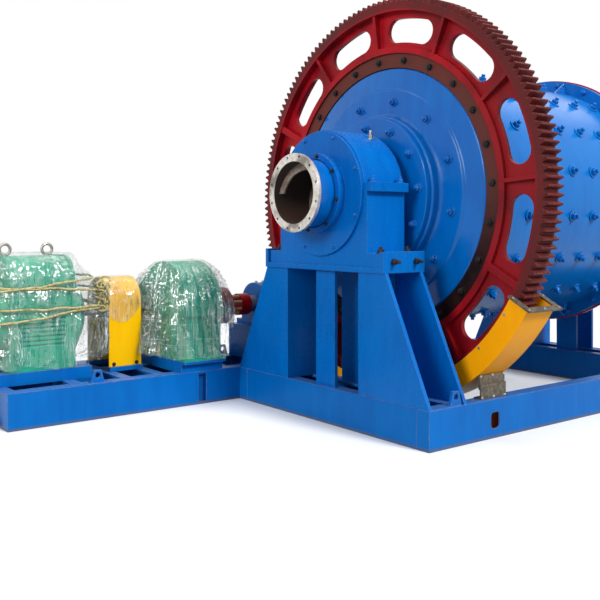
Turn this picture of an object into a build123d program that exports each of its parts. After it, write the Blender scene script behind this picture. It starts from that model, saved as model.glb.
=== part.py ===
from build123d import *
import os
from math import acos, asin, cos, degrees, radians, sin, sqrt, tan

# Ball mill with a split girth gear, driven through a pinion, a reducer and a motor.
# X runs along the mill axis towards the feed end, Y towards the drive, Z up.
# The origin is on the ground, under the middle of the discharge bearing.

# Main bearings and mill axis
AXIS_Z = 1845.0
BEARING_SPAN = 3310.0
JOURNAL_R = 300.0
RUNNING_GAP = 0.3
HOUSING_DEPTH = 400.0
HOUSING_HALF = 535.0
CAP_R = 510.0
CAP_EAR_H = 70.0
CAP_EAR_W = 70.0
HOUSING_FOOT_H = 105.0
HOUSING_FOOT_GAP = 14.0
END_DISC_R = 500.0
END_DISC_T = 25.0
GLAND_R = 322.0
GLAND_LENGTH = 65.0
GLAND_GAP = 6.0

# Drum: shell, end covers, trunnions and sleeves
SHELL_BORE_R = 1050.0
SHELL_WALL = 28.0
SHELL_START = 600.0
FLANGE_W = 112.0
FLANGE_T = 50.0
GUSSETS = 12
GUSSET_LENGTH = 120.0
GUSSET_T = 16.0
GUSSET_SETBACK = 12.0
COVER_FLANGE_T = 40.0
SPIGOT_STEP = 2.0
SPIGOT_FRONT = 512.0
COVER_STEP_R = 900.0
COVER_STEP_X = 470.0
COVER_WALL = 70.0
BOSS_R = 670.0
BOSS_FRONT = 380.0
TRUNNION_FLANGE_R = 650.0
TRUNNION_FLANGE_T = 50.0
TRUNNION_NECK_R = 400.0
TUBE_R = 270.0
TUBE_END = -460.0
TRUNNION_BORE_R = 262.0
SLEEVE_WALL = 16.0
SLEEVE_FLANGE_R = 312.0
SLEEVE_FLANGE_T = 27.0
SLEEVE_BOLTS = 12
SLEEVE_BOLT_CIRCLE_R = 288.0
SLEEVE_HOLE_R = 11.0

# Girth gear and pinion
MODULE = 20.0
GEAR_TEETH = 164
PINION_TEETH = 21
PRESSURE_ANGLE = 20.0
TOOTH_THICKNESS = 28.0
ROOT_DEPTH = 25.0
GEAR_FRONT = 455.0
GEAR_WIDTH = 180.0
RIM_T = 65.0
GEAR_WEB_T = 40.0
GEAR_BORE_GAP = 4.0
MOUNT_RING_LIP = 15.0
MOUNT_RING_T = 50.0
RIDGE_W = 55.0
RIDGE_T = 110.0
RIBS_PER_HALF = 6
RIB_T = 30.0
RIB_RIM_SETBACK = 8.0
WINDOW_FROM_RIDGE = 35.0
WINDOW_FROM_RIM = 55.0
WINDOW_SPAN = 21.0
PINION_ANGLE = -33.49
PINION_WIDTH = 200.0
PINION_BORE_R = 95.0
INVOLUTE_POINTS = 5

# Mill base frame and pedestals
BEAM_H = 290.0
BEAM_W = 120.0
BEAM_WEB = 14.0
BEAM_FLANGE_T = 20.0
BASE_HALF = 1160.0
TIE_WIDTH = 240.0
HAND_HOLE_W = 100.0
HAND_HOLE_H = 120.0
HAND_HOLE_R = 30.0
HAND_HOLE_Z = 132.0
HAND_HOLE_FROM_MIDDLE = 1137.0
LUG_LENGTH = 120.0
LUG_H = 105.0
LUG_T = 25.0
LUG_HOLE_R = 24.0
LUG_SETBACK = 105.0
PEDESTAL_DEPTH = 400.0
PEDESTAL_TOP = 1230.0
PEDESTAL_TOP_HALF = 730.0
PEDESTAL_PLATE = 30.0
WINDOW_HALF = 440.0
CENTRE_BAR_HALF = 115.0
POST_SETBACK = 45.0
JAMB_T = 20.0
SOLE_T = 40.0
SOLE_OVERHANG = 18.0
LIP_H = 120.0
LIP_T = 35.0

# Gear guard
GUARD_FRONT = 390.0
GUARD_REAR = 700.0
GUARD_SHEET = 10.0
GUARD_TIP_GAP = 90.0
GUARD_LAP = 70.0
GUARD_TOP_ANGLE = -151.0
GUARD_JOINT_ANGLE = -128.0
GUARD_END_ANGLE = -52.0
GUARD_FLANGE_T = 14.0
GUARD_FLANGE_LIP = 40.0
GUARD_FOOT_SETBACK = 50.0
GUARD_FOOT_INSET = 10.0
GUARD_FOOT_T = 12.0
GUARD_FOOT_LEG = 70.0

# Drive base
DRIVE_BASE_LEFT = -2362.0
DRIVE_BASE_RIGHT = 1150.0
FAR_BEAM_RIGHT = -250.0
MID_BEAM_Y = 1790.0
FAR_BEAM_Y = 2250.0
CROSS_BEAM_W = 100.0
PLINTH_H = 104.0
PLINTH_PLATE = 24.0
PLINTH_OVERHANG = 57.0
BAY_WIDTH = 85.0
BAY_DEPTH = 55.0
BAY_GUSSET_T = 14.0
DRIVE_LUG_X = (-1590.0, 60.0)

# Motor
MOTOR_X = -1957.0
MOTOR_LENGTH = 560.0
MOTOR_WIDTH = 800.0
MOTOR_TOP = 1340.0
MOTOR_SHOULDER_R = 220.0
MOTOR_RAIL_W = 110.0
MOTOR_RIM_T = 28.0
MOTOR_RIM_LIP = 12.0
SHIELD_LENGTH = 150.0
SHIELD_R = 390.0
SHIELD_NOSE_R = 250.0
EYE_BOLT_SPACING = 372.0
EYE_R = 46.0
EYE_WIRE_R = 13.0
LOUVRE_COUNT = 7
LOUVRE_W = 380.0
LOUVRE_PITCH = 36.0

# Reducer
REDUCER_CENTRES = 320.0
REDUCER_X0 = -820.0
REDUCER_X1 = -390.0
REDUCER_BIG_R = 440.0
REDUCER_SMALL_R = 250.0
REDUCER_FLANGE_T = 34.0
REDUCER_FLANGE_LIP = 35.0
REDUCER_RIBS = 3
REDUCER_RIB_T = 20.0
OUTPUT_BOSS_R = 150.0
INPUT_BOSS_R = 110.0

# Couplings and shafts
COUPLING_R = 175.0
COUPLING_HUB_R = 125.0
COUPLING_DISC_T = 100.0
PINION_HALF_R = 105.0
PINION_HALF_T = 60.0
COUPLING_GAP = 150.0
COUPLING_MIDDLE = -47.0
COUPLING_HUB_LENGTH = 50.0
COUPLING_PINS = 8
PIN_CIRCLE_R = 86.0
PIN_R = 13.0
OUTPUT_SHAFT_R = 68.0
PINION_SHAFT_R = 80.0
FAST_COUPLING_R = 150.0
FAST_COUPLING_LENGTH = 120.0
FAST_SHAFT_R = 48.0
COUPLING_GUARD_X0 = -1287.0
COUPLING_GUARD_X1 = -968.0
COUPLING_GUARD_HALF = 230.0
COUPLING_GUARD_TOP = 1124.0
COUPLING_GUARD_SHEET = 8.0
GUARD_RAIL_H = 40.0
GUARD_RAIL_W = 50.0

# Pinion bearings
PINION_BEARING_LENGTH = 140.0
PINION_BEARING_R = 205.0
PINION_BEARING_GAP = 75.0
PINION_BEARING_FOOT_HALF = 298.0
PINION_BEARING_FOOT_T = 45.0
PINION_STAND_TOP = 610.0
PINION_STAND_MARGIN = 95.0
PINION_STAND_INNER = 20.0

# Derived sizes
FEED_MIDDLE = BEARING_SPAN / 2
SHELL_END = BEARING_SPAN - SHELL_START
SHELL_R = SHELL_BORE_R + SHELL_WALL
FLANGE_R = SHELL_R + FLANGE_W
SPIGOT_R = SHELL_R + SPIGOT_STEP
GEAR_BORE_R = SPIGOT_R + GEAR_BORE_GAP
MOUNT_RING_R = FLANGE_R + MOUNT_RING_LIP
RIDGE_R = MOUNT_RING_R + RIDGE_W
COVER_BACK = SHELL_START - COVER_FLANGE_T
GEAR_MIDDLE = GEAR_FRONT + GEAR_WIDTH / 2
GEAR_PITCH_R = MODULE * GEAR_TEETH / 2
PINION_PITCH_R = MODULE * PINION_TEETH / 2
TOOTH_STEP = 360 / GEAR_TEETH
RIM_INNER_R = GEAR_PITCH_R - ROOT_DEPTH - RIM_T
WINDOW_INNER_R = RIDGE_R + WINDOW_FROM_RIDGE
WINDOW_OUTER_R = RIM_INNER_R - WINDOW_FROM_RIM
SPLIT_ANGLE = PINION_ANGLE + (GEAR_TEETH // 6 + 0.5) * TOOTH_STEP
GEAR_CENTRES = GEAR_PITCH_R + PINION_PITCH_R
PINION_Y = GEAR_CENTRES * cos(radians(PINION_ANGLE))
PINION_Z = AXIS_Z + GEAR_CENTRES * sin(radians(PINION_ANGLE))
MOTOR_Y = PINION_Y + REDUCER_CENTRES
PLINTH_TOP = BEAM_H + PLINTH_H
SOLE_TOP = PEDESTAL_TOP + SOLE_T
GEAR_TIP_R = GEAR_PITCH_R + MODULE
GUARD_INNER_R = GEAR_TIP_R - GUARD_LAP
GUARD_OUTER_R = GEAR_TIP_R + GUARD_TIP_GAP + GUARD_SHEET
NEAR_BEAM = (BASE_HALF, BASE_HALF + BEAM_W)
MID_BEAM = (MID_BEAM_Y, MID_BEAM_Y + BEAM_W)
FAR_BEAM = (FAR_BEAM_Y, FAR_BEAM_Y + BEAM_W)
PINION_FRONT = GEAR_MIDDLE - PINION_WIDTH / 2
PINION_REAR = GEAR_MIDDLE + PINION_WIDTH / 2


def block(x, y, z):
    """Box between a low and a high limit on each axis."""
    limits = (x, y, z)
    middle = [(low + high) / 2 for low, high in limits]
    return Pos(*middle) * Box(*[high - low for low, high in limits])


def rod(radius, x, y, z):
    """Round bar along X."""
    return Pos((x[0] + x[1]) / 2, y, z) * Rot(0, 90, 0) * Cylinder(radius, x[1] - x[0])


def turned(points, arc=360):
    """Profile of (x, radius) points turned about the X axis, from the top towards -Y."""
    return revolve(Plane.XZ * make_face(Polyline(*points, close=True)), Axis.X, arc)


def cut_across(face, x):
    """Plate whose outline lies in Y and Z, between two X limits."""
    return extrude(Plane.YZ.offset(x[0]) * face, x[1] - x[0])


def cut_along(face, y):
    """Plate whose outline lies in X and Z, between two Y limits."""
    return extrude(Plane.XZ.offset(-y[0]) * face, y[0] - y[1])


def outline(points):
    """Flat face inside straight lines."""
    return make_face(Polyline(*points, close=True))


def polar(radius, angle):
    """Point at a radius and an angle in degrees."""
    return (radius * cos(radians(angle)), radius * sin(radians(angle)))


def on_axis(piece):
    """Lift a piece made about X to the mill axis."""
    return Pos(0, 0, AXIS_Z) * piece


def at_feed(piece):
    """The same piece at the feed end."""
    return mirror(piece, Plane.YZ.offset(FEED_MIDDLE))


def mirrored_y(piece):
    """The same piece on the other side of the mill axis."""
    return mirror(piece, Plane.XZ)


# Drum

def shell():
    """Rolled shell with a bolting flange at each end and gussets behind the flanges."""
    tube = turned([(SHELL_START, SHELL_BORE_R), (SHELL_END, SHELL_BORE_R), (SHELL_END, FLANGE_R),
                   (SHELL_END - FLANGE_T, FLANGE_R), (SHELL_END - FLANGE_T, SHELL_R),
                   (SHELL_START + FLANGE_T, SHELL_R), (SHELL_START + FLANGE_T, FLANGE_R),
                   (SHELL_START, FLANGE_R)])
    root = SHELL_R - SHELL_WALL / 2
    gusset = outline([(SHELL_START + FLANGE_T, root), (SHELL_START + FLANGE_T, FLANGE_R - GUSSET_SETBACK),
                      (SHELL_START + FLANGE_T + GUSSET_LENGTH, SHELL_R),
                      (SHELL_START + FLANGE_T + GUSSET_LENGTH, root)])
    plate = cut_along(gusset, (-GUSSET_T / 2, GUSSET_T / 2))
    for index in range(GUSSETS):
        turn = Rot((index + 0.5) * 360 / GUSSETS, 0, 0)
        tube += [turn * plate, turn * at_feed(plate)]
    return on_axis(tube)


def end_cover():
    """Stepped end cover with a spigot for the gear and a boss for the trunnion."""
    step_back = COVER_STEP_X + 12
    inner_flat = COVER_STEP_X + COVER_WALL
    boss_inner = BOSS_FRONT + COVER_WALL + 20
    profile = [(BOSS_FRONT, TRUNNION_BORE_R), (BOSS_FRONT, BOSS_R), (COVER_STEP_X, BOSS_R),
               (COVER_STEP_X, COVER_STEP_R), (step_back, COVER_STEP_R),
               (SPIGOT_FRONT, SPIGOT_R), (COVER_BACK, SPIGOT_R), (COVER_BACK, FLANGE_R),
               (SHELL_START, FLANGE_R), (SHELL_START, SHELL_BORE_R),
               (inner_flat, COVER_STEP_R), (inner_flat, BOSS_R),
               (boss_inner, BOSS_R - COVER_WALL), (boss_inner, TRUNNION_BORE_R)]
    return on_axis(turned(profile))


def trunnion():
    """Hollow trunnion with its journal, bolting flange and front tube."""
    flange_front = BOSS_FRONT - TRUNNION_FLANGE_T
    journal_end = HOUSING_DEPTH / 2 + END_DISC_T + GLAND_GAP
    tube_start = GLAND_GAP - HOUSING_DEPTH / 2
    profile = [(TUBE_END, TRUNNION_BORE_R), (BOSS_FRONT, TRUNNION_BORE_R),
               (BOSS_FRONT, TRUNNION_FLANGE_R), (flange_front, TRUNNION_FLANGE_R),
               (flange_front, TRUNNION_NECK_R), (journal_end, JOURNAL_R),
               (tube_start, JOURNAL_R), (tube_start, TUBE_R), (TUBE_END, TUBE_R)]
    return on_axis(turned(profile))


def sleeve():
    """Loose lining sleeve with a drilled flange outside the trunnion."""
    inner = TRUNNION_BORE_R - SLEEVE_WALL
    front = TUBE_END - SLEEVE_FLANGE_T
    body = turned([(front, inner), (BOSS_FRONT, inner), (BOSS_FRONT, TRUNNION_BORE_R),
                   (TUBE_END, TRUNNION_BORE_R), (TUBE_END, SLEEVE_FLANGE_R),
                   (front, SLEEVE_FLANGE_R)])
    for index in range(SLEEVE_BOLTS):
        y, z = polar(SLEEVE_BOLT_CIRCLE_R, (index + 0.5) * 360 / SLEEVE_BOLTS)
        body -= rod(SLEEVE_HOLE_R, (front, TUBE_END), y, z)
    return on_axis(body)


# Girth gear and pinion

def gear_tooth(middle):
    """Outline points of one gear tooth, root to root."""
    lean = tan(radians(PRESSURE_ANGLE))
    tip_half = TOOTH_THICKNESS / 2 - MODULE * lean
    root_half = TOOTH_THICKNESS / 2 + ROOT_DEPTH * lean
    root_r = GEAR_PITCH_R - ROOT_DEPTH
    tip_r = GEAR_PITCH_R + MODULE
    root_turn = degrees(root_half / root_r)
    tip_turn = degrees(tip_half / tip_r)
    return [polar(root_r, middle - root_turn), polar(tip_r, middle - tip_turn),
            polar(tip_r, middle + tip_turn), polar(root_r, middle + root_turn)]


def gear_rim():
    """Toothed half rim, drawn from the split to the other split."""
    root_r = GEAR_PITCH_R - ROOT_DEPTH
    points = [polar(root_r, SPLIT_ANGLE)]
    for index in range(GEAR_TEETH // 2):
        points += gear_tooth(SPLIT_ANGLE + (index + 0.5) * TOOTH_STEP)
    points.append(polar(root_r, SPLIT_ANGLE + 180))
    inner = [polar(RIM_INNER_R, SPLIT_ANGLE + turn) for turn in (180, 90, 0)]
    edges = [Polyline(*points), Line(points[-1], inner[0]), ThreePointArc(*inner),
             Line(inner[-1], points[0])]
    return cut_across(make_face(edges), (GEAR_FRONT, GEAR_FRONT + GEAR_WIDTH))


def half_ring(inner_r, outer_r, front, back):
    """Half of a plain ring about X, beginning at the split."""
    ring = turned([(front, inner_r), (back, inner_r), (back, outer_r), (front, outer_r)], 180)
    return Rot(SPLIT_ANGLE - 90, 0, 0) * ring


def gear_rib(angle, shift):
    """Tapered radial rib through the web, moved sideways by a part of its thickness."""
    rim_front = GEAR_FRONT + RIB_RIM_SETBACK
    rim_back = GEAR_FRONT + GEAR_WIDTH - RIB_RIM_SETBACK
    inner = (MOUNT_RING_R + RIDGE_R) / 2
    outer = RIM_INNER_R + RIB_RIM_SETBACK
    face = outline([(GEAR_MIDDLE - RIDGE_T / 2, inner), (rim_front, outer), (rim_back, outer),
                    (GEAR_MIDDLE + RIDGE_T / 2, inner)])
    slab = Pos(0, 0, (shift - 0.5) * RIB_T) * extrude(face, RIB_T)
    return Rot(angle, 0, 0) * slab


def gear_window(angle):
    """Slot with round ends through the web, for the half gear to lose."""
    middle_r = (WINDOW_INNER_R + WINDOW_OUTER_R) / 2
    width = WINDOW_OUTER_R - WINDOW_INNER_R
    span = WINDOW_SPAN - 2 * degrees(asin(width / 2 / middle_r))
    first, last = angle - span / 2, angle + span / 2
    outer = [polar(WINDOW_OUTER_R, turn) for turn in (first, angle, last)]
    inner = [polar(WINDOW_INNER_R, turn) for turn in (last, angle, first)]
    cap = degrees(width / 2 / middle_r)
    edges = [ThreePointArc(*outer), ThreePointArc(outer[2], polar(middle_r, last + cap), inner[0]),
             ThreePointArc(*inner), ThreePointArc(inner[2], polar(middle_r, first - cap), outer[0])]
    return cut_across(make_face(edges), (GEAR_FRONT, GEAR_FRONT + GEAR_WIDTH))


def gear_half():
    """One casting of the split girth gear: rim, web, ribs, ridge and mounting ring."""
    web_front = GEAR_MIDDLE - GEAR_WEB_T / 2
    ring_back = COVER_BACK
    body = gear_rim()
    body += half_ring(MOUNT_RING_R, RIM_INNER_R, web_front, web_front + GEAR_WEB_T)
    body += half_ring(GEAR_BORE_R, MOUNT_RING_R, ring_back - MOUNT_RING_T, ring_back)
    body += half_ring(MOUNT_RING_R, RIDGE_R, GEAR_MIDDLE - RIDGE_T / 2, GEAR_MIDDLE + RIDGE_T / 2)
    rib_step = 180 / RIBS_PER_HALF
    for index in range(RIBS_PER_HALF):
        body -= gear_window(SPLIT_ANGLE + (index + 0.5) * rib_step)
    for index in range(1, RIBS_PER_HALF):
        body += gear_rib(SPLIT_ANGLE + index * rib_step, 0)
    body += gear_rib(SPLIT_ANGLE, 0.5)
    body += gear_rib(SPLIT_ANGLE + 180, -0.5)
    return body


def pinion_tooth(middle):
    """Outline points of one pinion tooth with involute flanks."""
    base_r = PINION_PITCH_R * cos(radians(PRESSURE_ANGLE))
    tip_r = PINION_PITCH_R + MODULE
    root_r = PINION_PITCH_R - ROOT_DEPTH
    pressure = radians(PRESSURE_ANGLE)
    base_half = TOOTH_THICKNESS / 2 / PINION_PITCH_R + tan(pressure) - pressure
    flank = [(root_r, base_half)]
    for index in range(INVOLUTE_POINTS):
        radius = base_r + (tip_r - base_r) * index / (INVOLUTE_POINTS - 1)
        roll = acos(base_r / radius)
        flank.append((radius, base_half - (tan(roll) - roll)))
    rising = [polar(radius, middle - degrees(half)) for radius, half in flank]
    falling = [polar(radius, middle + degrees(half)) for radius, half in reversed(flank)]
    return rising + falling


def pinion():
    """Spur pinion with a space between two teeth facing the gear."""
    step = 360 / PINION_TEETH
    facing_gear = PINION_ANGLE + 180
    points = []
    for index in range(PINION_TEETH):
        points += pinion_tooth(facing_gear + (index + 0.5) * step)
    body = cut_across(outline(points) - Circle(PINION_BORE_R), (PINION_FRONT, PINION_REAR))
    return Pos(0, PINION_Y, PINION_Z) * body


def pinion_shaft():
    """Stepped shaft from the coupling through both pinion bearings."""
    coupling_face = COUPLING_MIDDLE + COUPLING_GAP / 2
    near_end = coupling_face + PINION_HALF_T
    far_end = PINION_REAR + PINION_BEARING_GAP + PINION_BEARING_LENGTH + PINION_STAND_MARGIN
    shaft = rod(PINION_SHAFT_R, (near_end, far_end), PINION_Y, PINION_Z)
    shoulder = (PINION_FRONT - PINION_BEARING_GAP / 2, PINION_REAR + PINION_BEARING_GAP / 2)
    return shaft + rod(PINION_BORE_R, shoulder, PINION_Y, PINION_Z)


# Low speed coupling

def drilled_for_pins(body, x):
    """Cut the ring of pin holes through a disc."""
    for y, z in pin_places():
        body -= rod(PIN_R, x, y, z)
    return body


def pin_places():
    """Centres of the coupling pins in Y and Z."""
    for index in range(COUPLING_PINS):
        y, z = polar(PIN_CIRCLE_R, (index + 0.5) * 360 / COUPLING_PINS)
        yield PINION_Y + y, PINION_Z + z


def coupling_reducer_half():
    """Broad coupling drum on the reducer's output shaft."""
    face = COUPLING_MIDDLE - COUPLING_GAP / 2
    disc = (face - COUPLING_DISC_T, face)
    hub = (face - COUPLING_DISC_T - COUPLING_HUB_LENGTH, disc[0])
    body = rod(COUPLING_R, disc, PINION_Y, PINION_Z) + rod(COUPLING_HUB_R, hub, PINION_Y, PINION_Z)
    body -= rod(OUTPUT_SHAFT_R, (hub[0], face), PINION_Y, PINION_Z)
    return drilled_for_pins(body, disc)


def coupling_pinion_half():
    """Slim coupling half on the pinion shaft, its front left solid for the pins."""
    face = COUPLING_MIDDLE + COUPLING_GAP / 2
    disc = (face, face + PINION_HALF_T)
    hub = (disc[1], disc[1] + COUPLING_HUB_LENGTH)
    body = rod(PINION_HALF_R, (face, hub[1]), PINION_Y, PINION_Z)
    body -= rod(PINION_SHAFT_R, hub, PINION_Y, PINION_Z)
    return drilled_for_pins(body, disc)


def coupling_pins():
    """Loose pins that join the two coupling halves."""
    ends = (COUPLING_MIDDLE - COUPLING_GAP / 2 - COUPLING_DISC_T,
            COUPLING_MIDDLE + COUPLING_GAP / 2 + PINION_HALF_T)
    return [rod(PIN_R, ends, y, z) for y, z in pin_places()]


def output_shaft():
    """Reducer's slow shaft, from its casing into the coupling."""
    face = COUPLING_MIDDLE - COUPLING_GAP / 2
    return rod(OUTPUT_SHAFT_R, (REDUCER_X1 + RUNNING_GAP, face), PINION_Y, PINION_Z)


# Base frame

def channel_face(low, high, open_to_high):
    """Channel section with its web on one side, in (across, up) coordinates."""
    web, tips = (low, high) if open_to_high else (high, low)
    web_inner = web + BEAM_WEB if open_to_high else web - BEAM_WEB
    return outline([(web, 0), (tips, 0), (tips, BEAM_FLANGE_T), (web_inner, BEAM_FLANGE_T),
                    (web_inner, BEAM_H - BEAM_FLANGE_T), (tips, BEAM_H - BEAM_FLANGE_T),
                    (tips, BEAM_H), (web, BEAM_H)])


def lifting_lug(x, y):
    """Plate lug with an eye, standing on top of a beam."""
    half = LUG_LENGTH / 2
    face = outline([(x - half, BEAM_H), (x + half, BEAM_H), (x + half / 2, BEAM_H + LUG_H),
                    (x - half / 2, BEAM_H + LUG_H)])
    eye = Pos(x, BEAM_H + LUG_H * 0.6) * Circle(LUG_HOLE_R)
    return cut_along(face - eye, (y - LUG_T / 2, y + LUG_T / 2))


def side_beam():
    """Long box beam of the mill base with hand holes, closed ends and lifting lugs."""
    front = -PEDESTAL_DEPTH / 2
    back = BEARING_SPAN + PEDESTAL_DEPTH / 2
    inner = BASE_HALF - BEAM_W
    beam = cut_across(channel_face(inner, BASE_HALF, False), (front, back))
    beam += block((front, back), (inner, inner + BEAM_WEB), (0, BEAM_H))
    for x in (front, back - BEAM_WEB):
        beam += block((x, x + BEAM_WEB), (inner, BASE_HALF), (0, BEAM_H))
    for offset in (-HAND_HOLE_FROM_MIDDLE, HAND_HOLE_FROM_MIDDLE):
        hole = Pos(FEED_MIDDLE + offset, HAND_HOLE_Z) * RectangleRounded(
            HAND_HOLE_W, HAND_HOLE_H, HAND_HOLE_R)
        beam -= cut_along(hole, (BASE_HALF - BEAM_WEB, BASE_HALF))
    lug = PEDESTAL_DEPTH / 2 - LUG_SETBACK
    for x in (lug, BEARING_SPAN - lug):
        beam += lifting_lug(x, BASE_HALF - LUG_T)
    return beam


def cross_beams():
    """Two channels under a pedestal, webs outwards, tied together by plates underneath."""
    half = PEDESTAL_DEPTH / 2
    reach = BASE_HALF - BEAM_W
    pair = cut_along(channel_face(-half, BEAM_W - half, True), (-reach, reach))
    pair += cut_along(channel_face(half - BEAM_W, half, False), (-reach, reach))
    for middle in (-reach + TIE_WIDTH, 0, reach - TIE_WIDTH):
        pair += block((-half, half), (middle - TIE_WIDTH / 2, middle + TIE_WIDTH / 2), (0, BEAM_FLANGE_T))
    return pair


def pedestal():
    """Welded bearing pedestal: two open legs and a middle post behind each plate."""
    half = PEDESTAL_DEPTH / 2
    leg = outline([(WINDOW_HALF, BEAM_H), (BASE_HALF, BEAM_H), (PEDESTAL_TOP_HALF, PEDESTAL_TOP),
                   (WINDOW_HALF, PEDESTAL_TOP)])
    right = block((-half, half), (WINDOW_HALF, WINDOW_HALF + JAMB_T), (BEAM_H, PEDESTAL_TOP))
    for x in ((-half, PEDESTAL_PLATE - half), (half - PEDESTAL_PLATE, half)):
        right += cut_across(leg, x)
    deep = half - POST_SETBACK
    posts = [block(x, (-CENTRE_BAR_HALF, CENTRE_BAR_HALF), (BEAM_H, PEDESTAL_TOP))
             for x in ((-deep, PEDESTAL_PLATE - deep), (deep - PEDESTAL_PLATE, deep))]
    return [right, mirrored_y(right), *posts]


def sole_plate():
    """Top plate of the pedestal with a lip at each end for the adjusting screws."""
    half = PEDESTAL_DEPTH / 2 + SOLE_OVERHANG
    plate = block((-half, half), (-PEDESTAL_TOP_HALF, PEDESTAL_TOP_HALF), (PEDESTAL_TOP, SOLE_TOP))
    for edge in (-PEDESTAL_TOP_HALF, PEDESTAL_TOP_HALF - LIP_T):
        plate += block((-half, half), (edge, edge + LIP_T), (SOLE_TOP, SOLE_TOP + LIP_H))
    return plate


# Main bearings

def bearing_body():
    """Lower half of the bearing housing with broad feet, open upwards along the axis."""
    half = HOUSING_DEPTH / 2
    reach = PEDESTAL_TOP_HALF - LIP_T - HOUSING_FOOT_GAP
    body = block((-half, half), (-HOUSING_HALF, HOUSING_HALF), (SOLE_TOP, AXIS_Z))
    body += block((-half, half), (-reach, reach), (SOLE_TOP, SOLE_TOP + HOUSING_FOOT_H))
    return body - rod(JOURNAL_R + RUNNING_GAP, (-half, half), 0, AXIS_Z)


def bearing_cap():
    """Arched upper half of the bearing housing with bolting ears."""
    half = HOUSING_DEPTH / 2
    cap = rod(CAP_R, (-half, half), 0, AXIS_Z)
    ear_half = CAP_R + CAP_EAR_W
    cap += block((-half, half), (-ear_half, ear_half), (AXIS_Z - CAP_EAR_H, AXIS_Z + CAP_EAR_H))
    cap -= rod(JOURNAL_R + RUNNING_GAP, (-half, half), 0, AXIS_Z)
    return cap - block((-half, half), (-ear_half, ear_half), (SOLE_TOP, AXIS_Z))


def bearing_covers():
    """Round end discs of the housing, the outer one with its gland ring."""
    half = HOUSING_DEPTH / 2
    disc_front = -half - END_DISC_T
    gland_front = disc_front - GLAND_LENGTH
    bore = TUBE_R + GLAND_GAP
    outer = turned([(gland_front, bore), (-half, bore), (-half, END_DISC_R),
                    (disc_front, END_DISC_R), (disc_front, GLAND_R), (gland_front, GLAND_R)])
    inner_bore = JOURNAL_R + GLAND_GAP
    inner = turned([(half, inner_bore), (half + END_DISC_T, inner_bore),
                    (half + END_DISC_T, END_DISC_R), (half, END_DISC_R)])
    return [on_axis(outer), on_axis(inner)]


# Gear guard

def guard_sweep(start, end):
    """Sheet trough round the gear between two angles, open towards the axis."""
    inner, outer, sheet = GUARD_INNER_R, GUARD_OUTER_R, GUARD_SHEET
    trough = turned([(GUARD_FRONT, inner), (GUARD_FRONT + sheet, inner),
                     (GUARD_FRONT + sheet, outer - sheet), (GUARD_REAR - sheet, outer - sheet),
                     (GUARD_REAR - sheet, inner), (GUARD_REAR, inner), (GUARD_REAR, outer),
                     (GUARD_FRONT, outer)], end - start)
    return on_axis(Rot(start - 90, 0, 0) * trough)


def guard_flange():
    """Bare joint flange at the guard's upper end."""
    lip = GUARD_FLANGE_LIP
    outer = outline([(GUARD_FRONT - lip, GUARD_INNER_R), (GUARD_REAR + lip, GUARD_INNER_R),
                     (GUARD_REAR + lip, GUARD_OUTER_R + lip), (GUARD_FRONT - lip, GUARD_OUTER_R + lip)])
    sheet = GUARD_SHEET
    gap = outline([(GUARD_FRONT + sheet, GUARD_INNER_R), (GUARD_REAR - sheet, GUARD_INNER_R),
                   (GUARD_REAR - sheet, GUARD_OUTER_R - sheet),
                   (GUARD_FRONT + sheet, GUARD_OUTER_R - sheet)])
    return on_axis(Rot(GUARD_TOP_ANGLE, 0, 0) * extrude(outer - gap, -GUARD_FLANGE_T))


def guard_foot(side):
    """Bracket on a side beam: an angle bolted down and a plate up to the guard's skin."""
    x = (GUARD_FRONT + GUARD_FOOT_INSET, GUARD_REAR - GUARD_FOOT_INSET)
    plate = BASE_HALF - GUARD_FOOT_SETBACK - GUARD_FOOT_T
    top = AXIS_Z - sqrt(GUARD_OUTER_R ** 2 - plate ** 2)
    knee = (BEAM_H + top) / 2
    lap = (top - BEAM_H) / 10
    face = outline([(plate, knee - lap), (plate, top), (plate + GUARD_FOOT_T, top),
                    (plate + GUARD_FOOT_T, knee + lap), (plate + 2 * GUARD_FOOT_T, knee + lap),
                    (plate + 2 * GUARD_FOOT_T, BEAM_H), (plate + 2 * GUARD_FOOT_T - GUARD_FOOT_LEG, BEAM_H),
                    (plate + 2 * GUARD_FOOT_T - GUARD_FOOT_LEG, BEAM_H + GUARD_FOOT_T),
                    (plate + GUARD_FOOT_T, BEAM_H + GUARD_FOOT_T), (plate + GUARD_FOOT_T, knee - lap)])
    foot = cut_across(face, x)
    return foot if side > 0 else mirrored_y(foot)


def guard_feet():
    """Brackets on both side beams that carry the guard."""
    return [guard_foot(side) for side in (-1, 1)]


# Drive base

def i_beam(low, high):
    """Rolled beam section in (across, up) coordinates."""
    middle = (low + high) / 2
    return (Pos(middle, BEAM_H / 2) * Rectangle(high - low, BEAM_H)
            - outline([(low, BEAM_FLANGE_T), (middle - BEAM_WEB / 2, BEAM_FLANGE_T),
                       (middle - BEAM_WEB / 2, BEAM_H - BEAM_FLANGE_T), (low, BEAM_H - BEAM_FLANGE_T)])
            - outline([(high, BEAM_FLANGE_T), (middle + BEAM_WEB / 2, BEAM_FLANGE_T),
                       (middle + BEAM_WEB / 2, BEAM_H - BEAM_FLANGE_T), (high, BEAM_H - BEAM_FLANGE_T)]))


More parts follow.
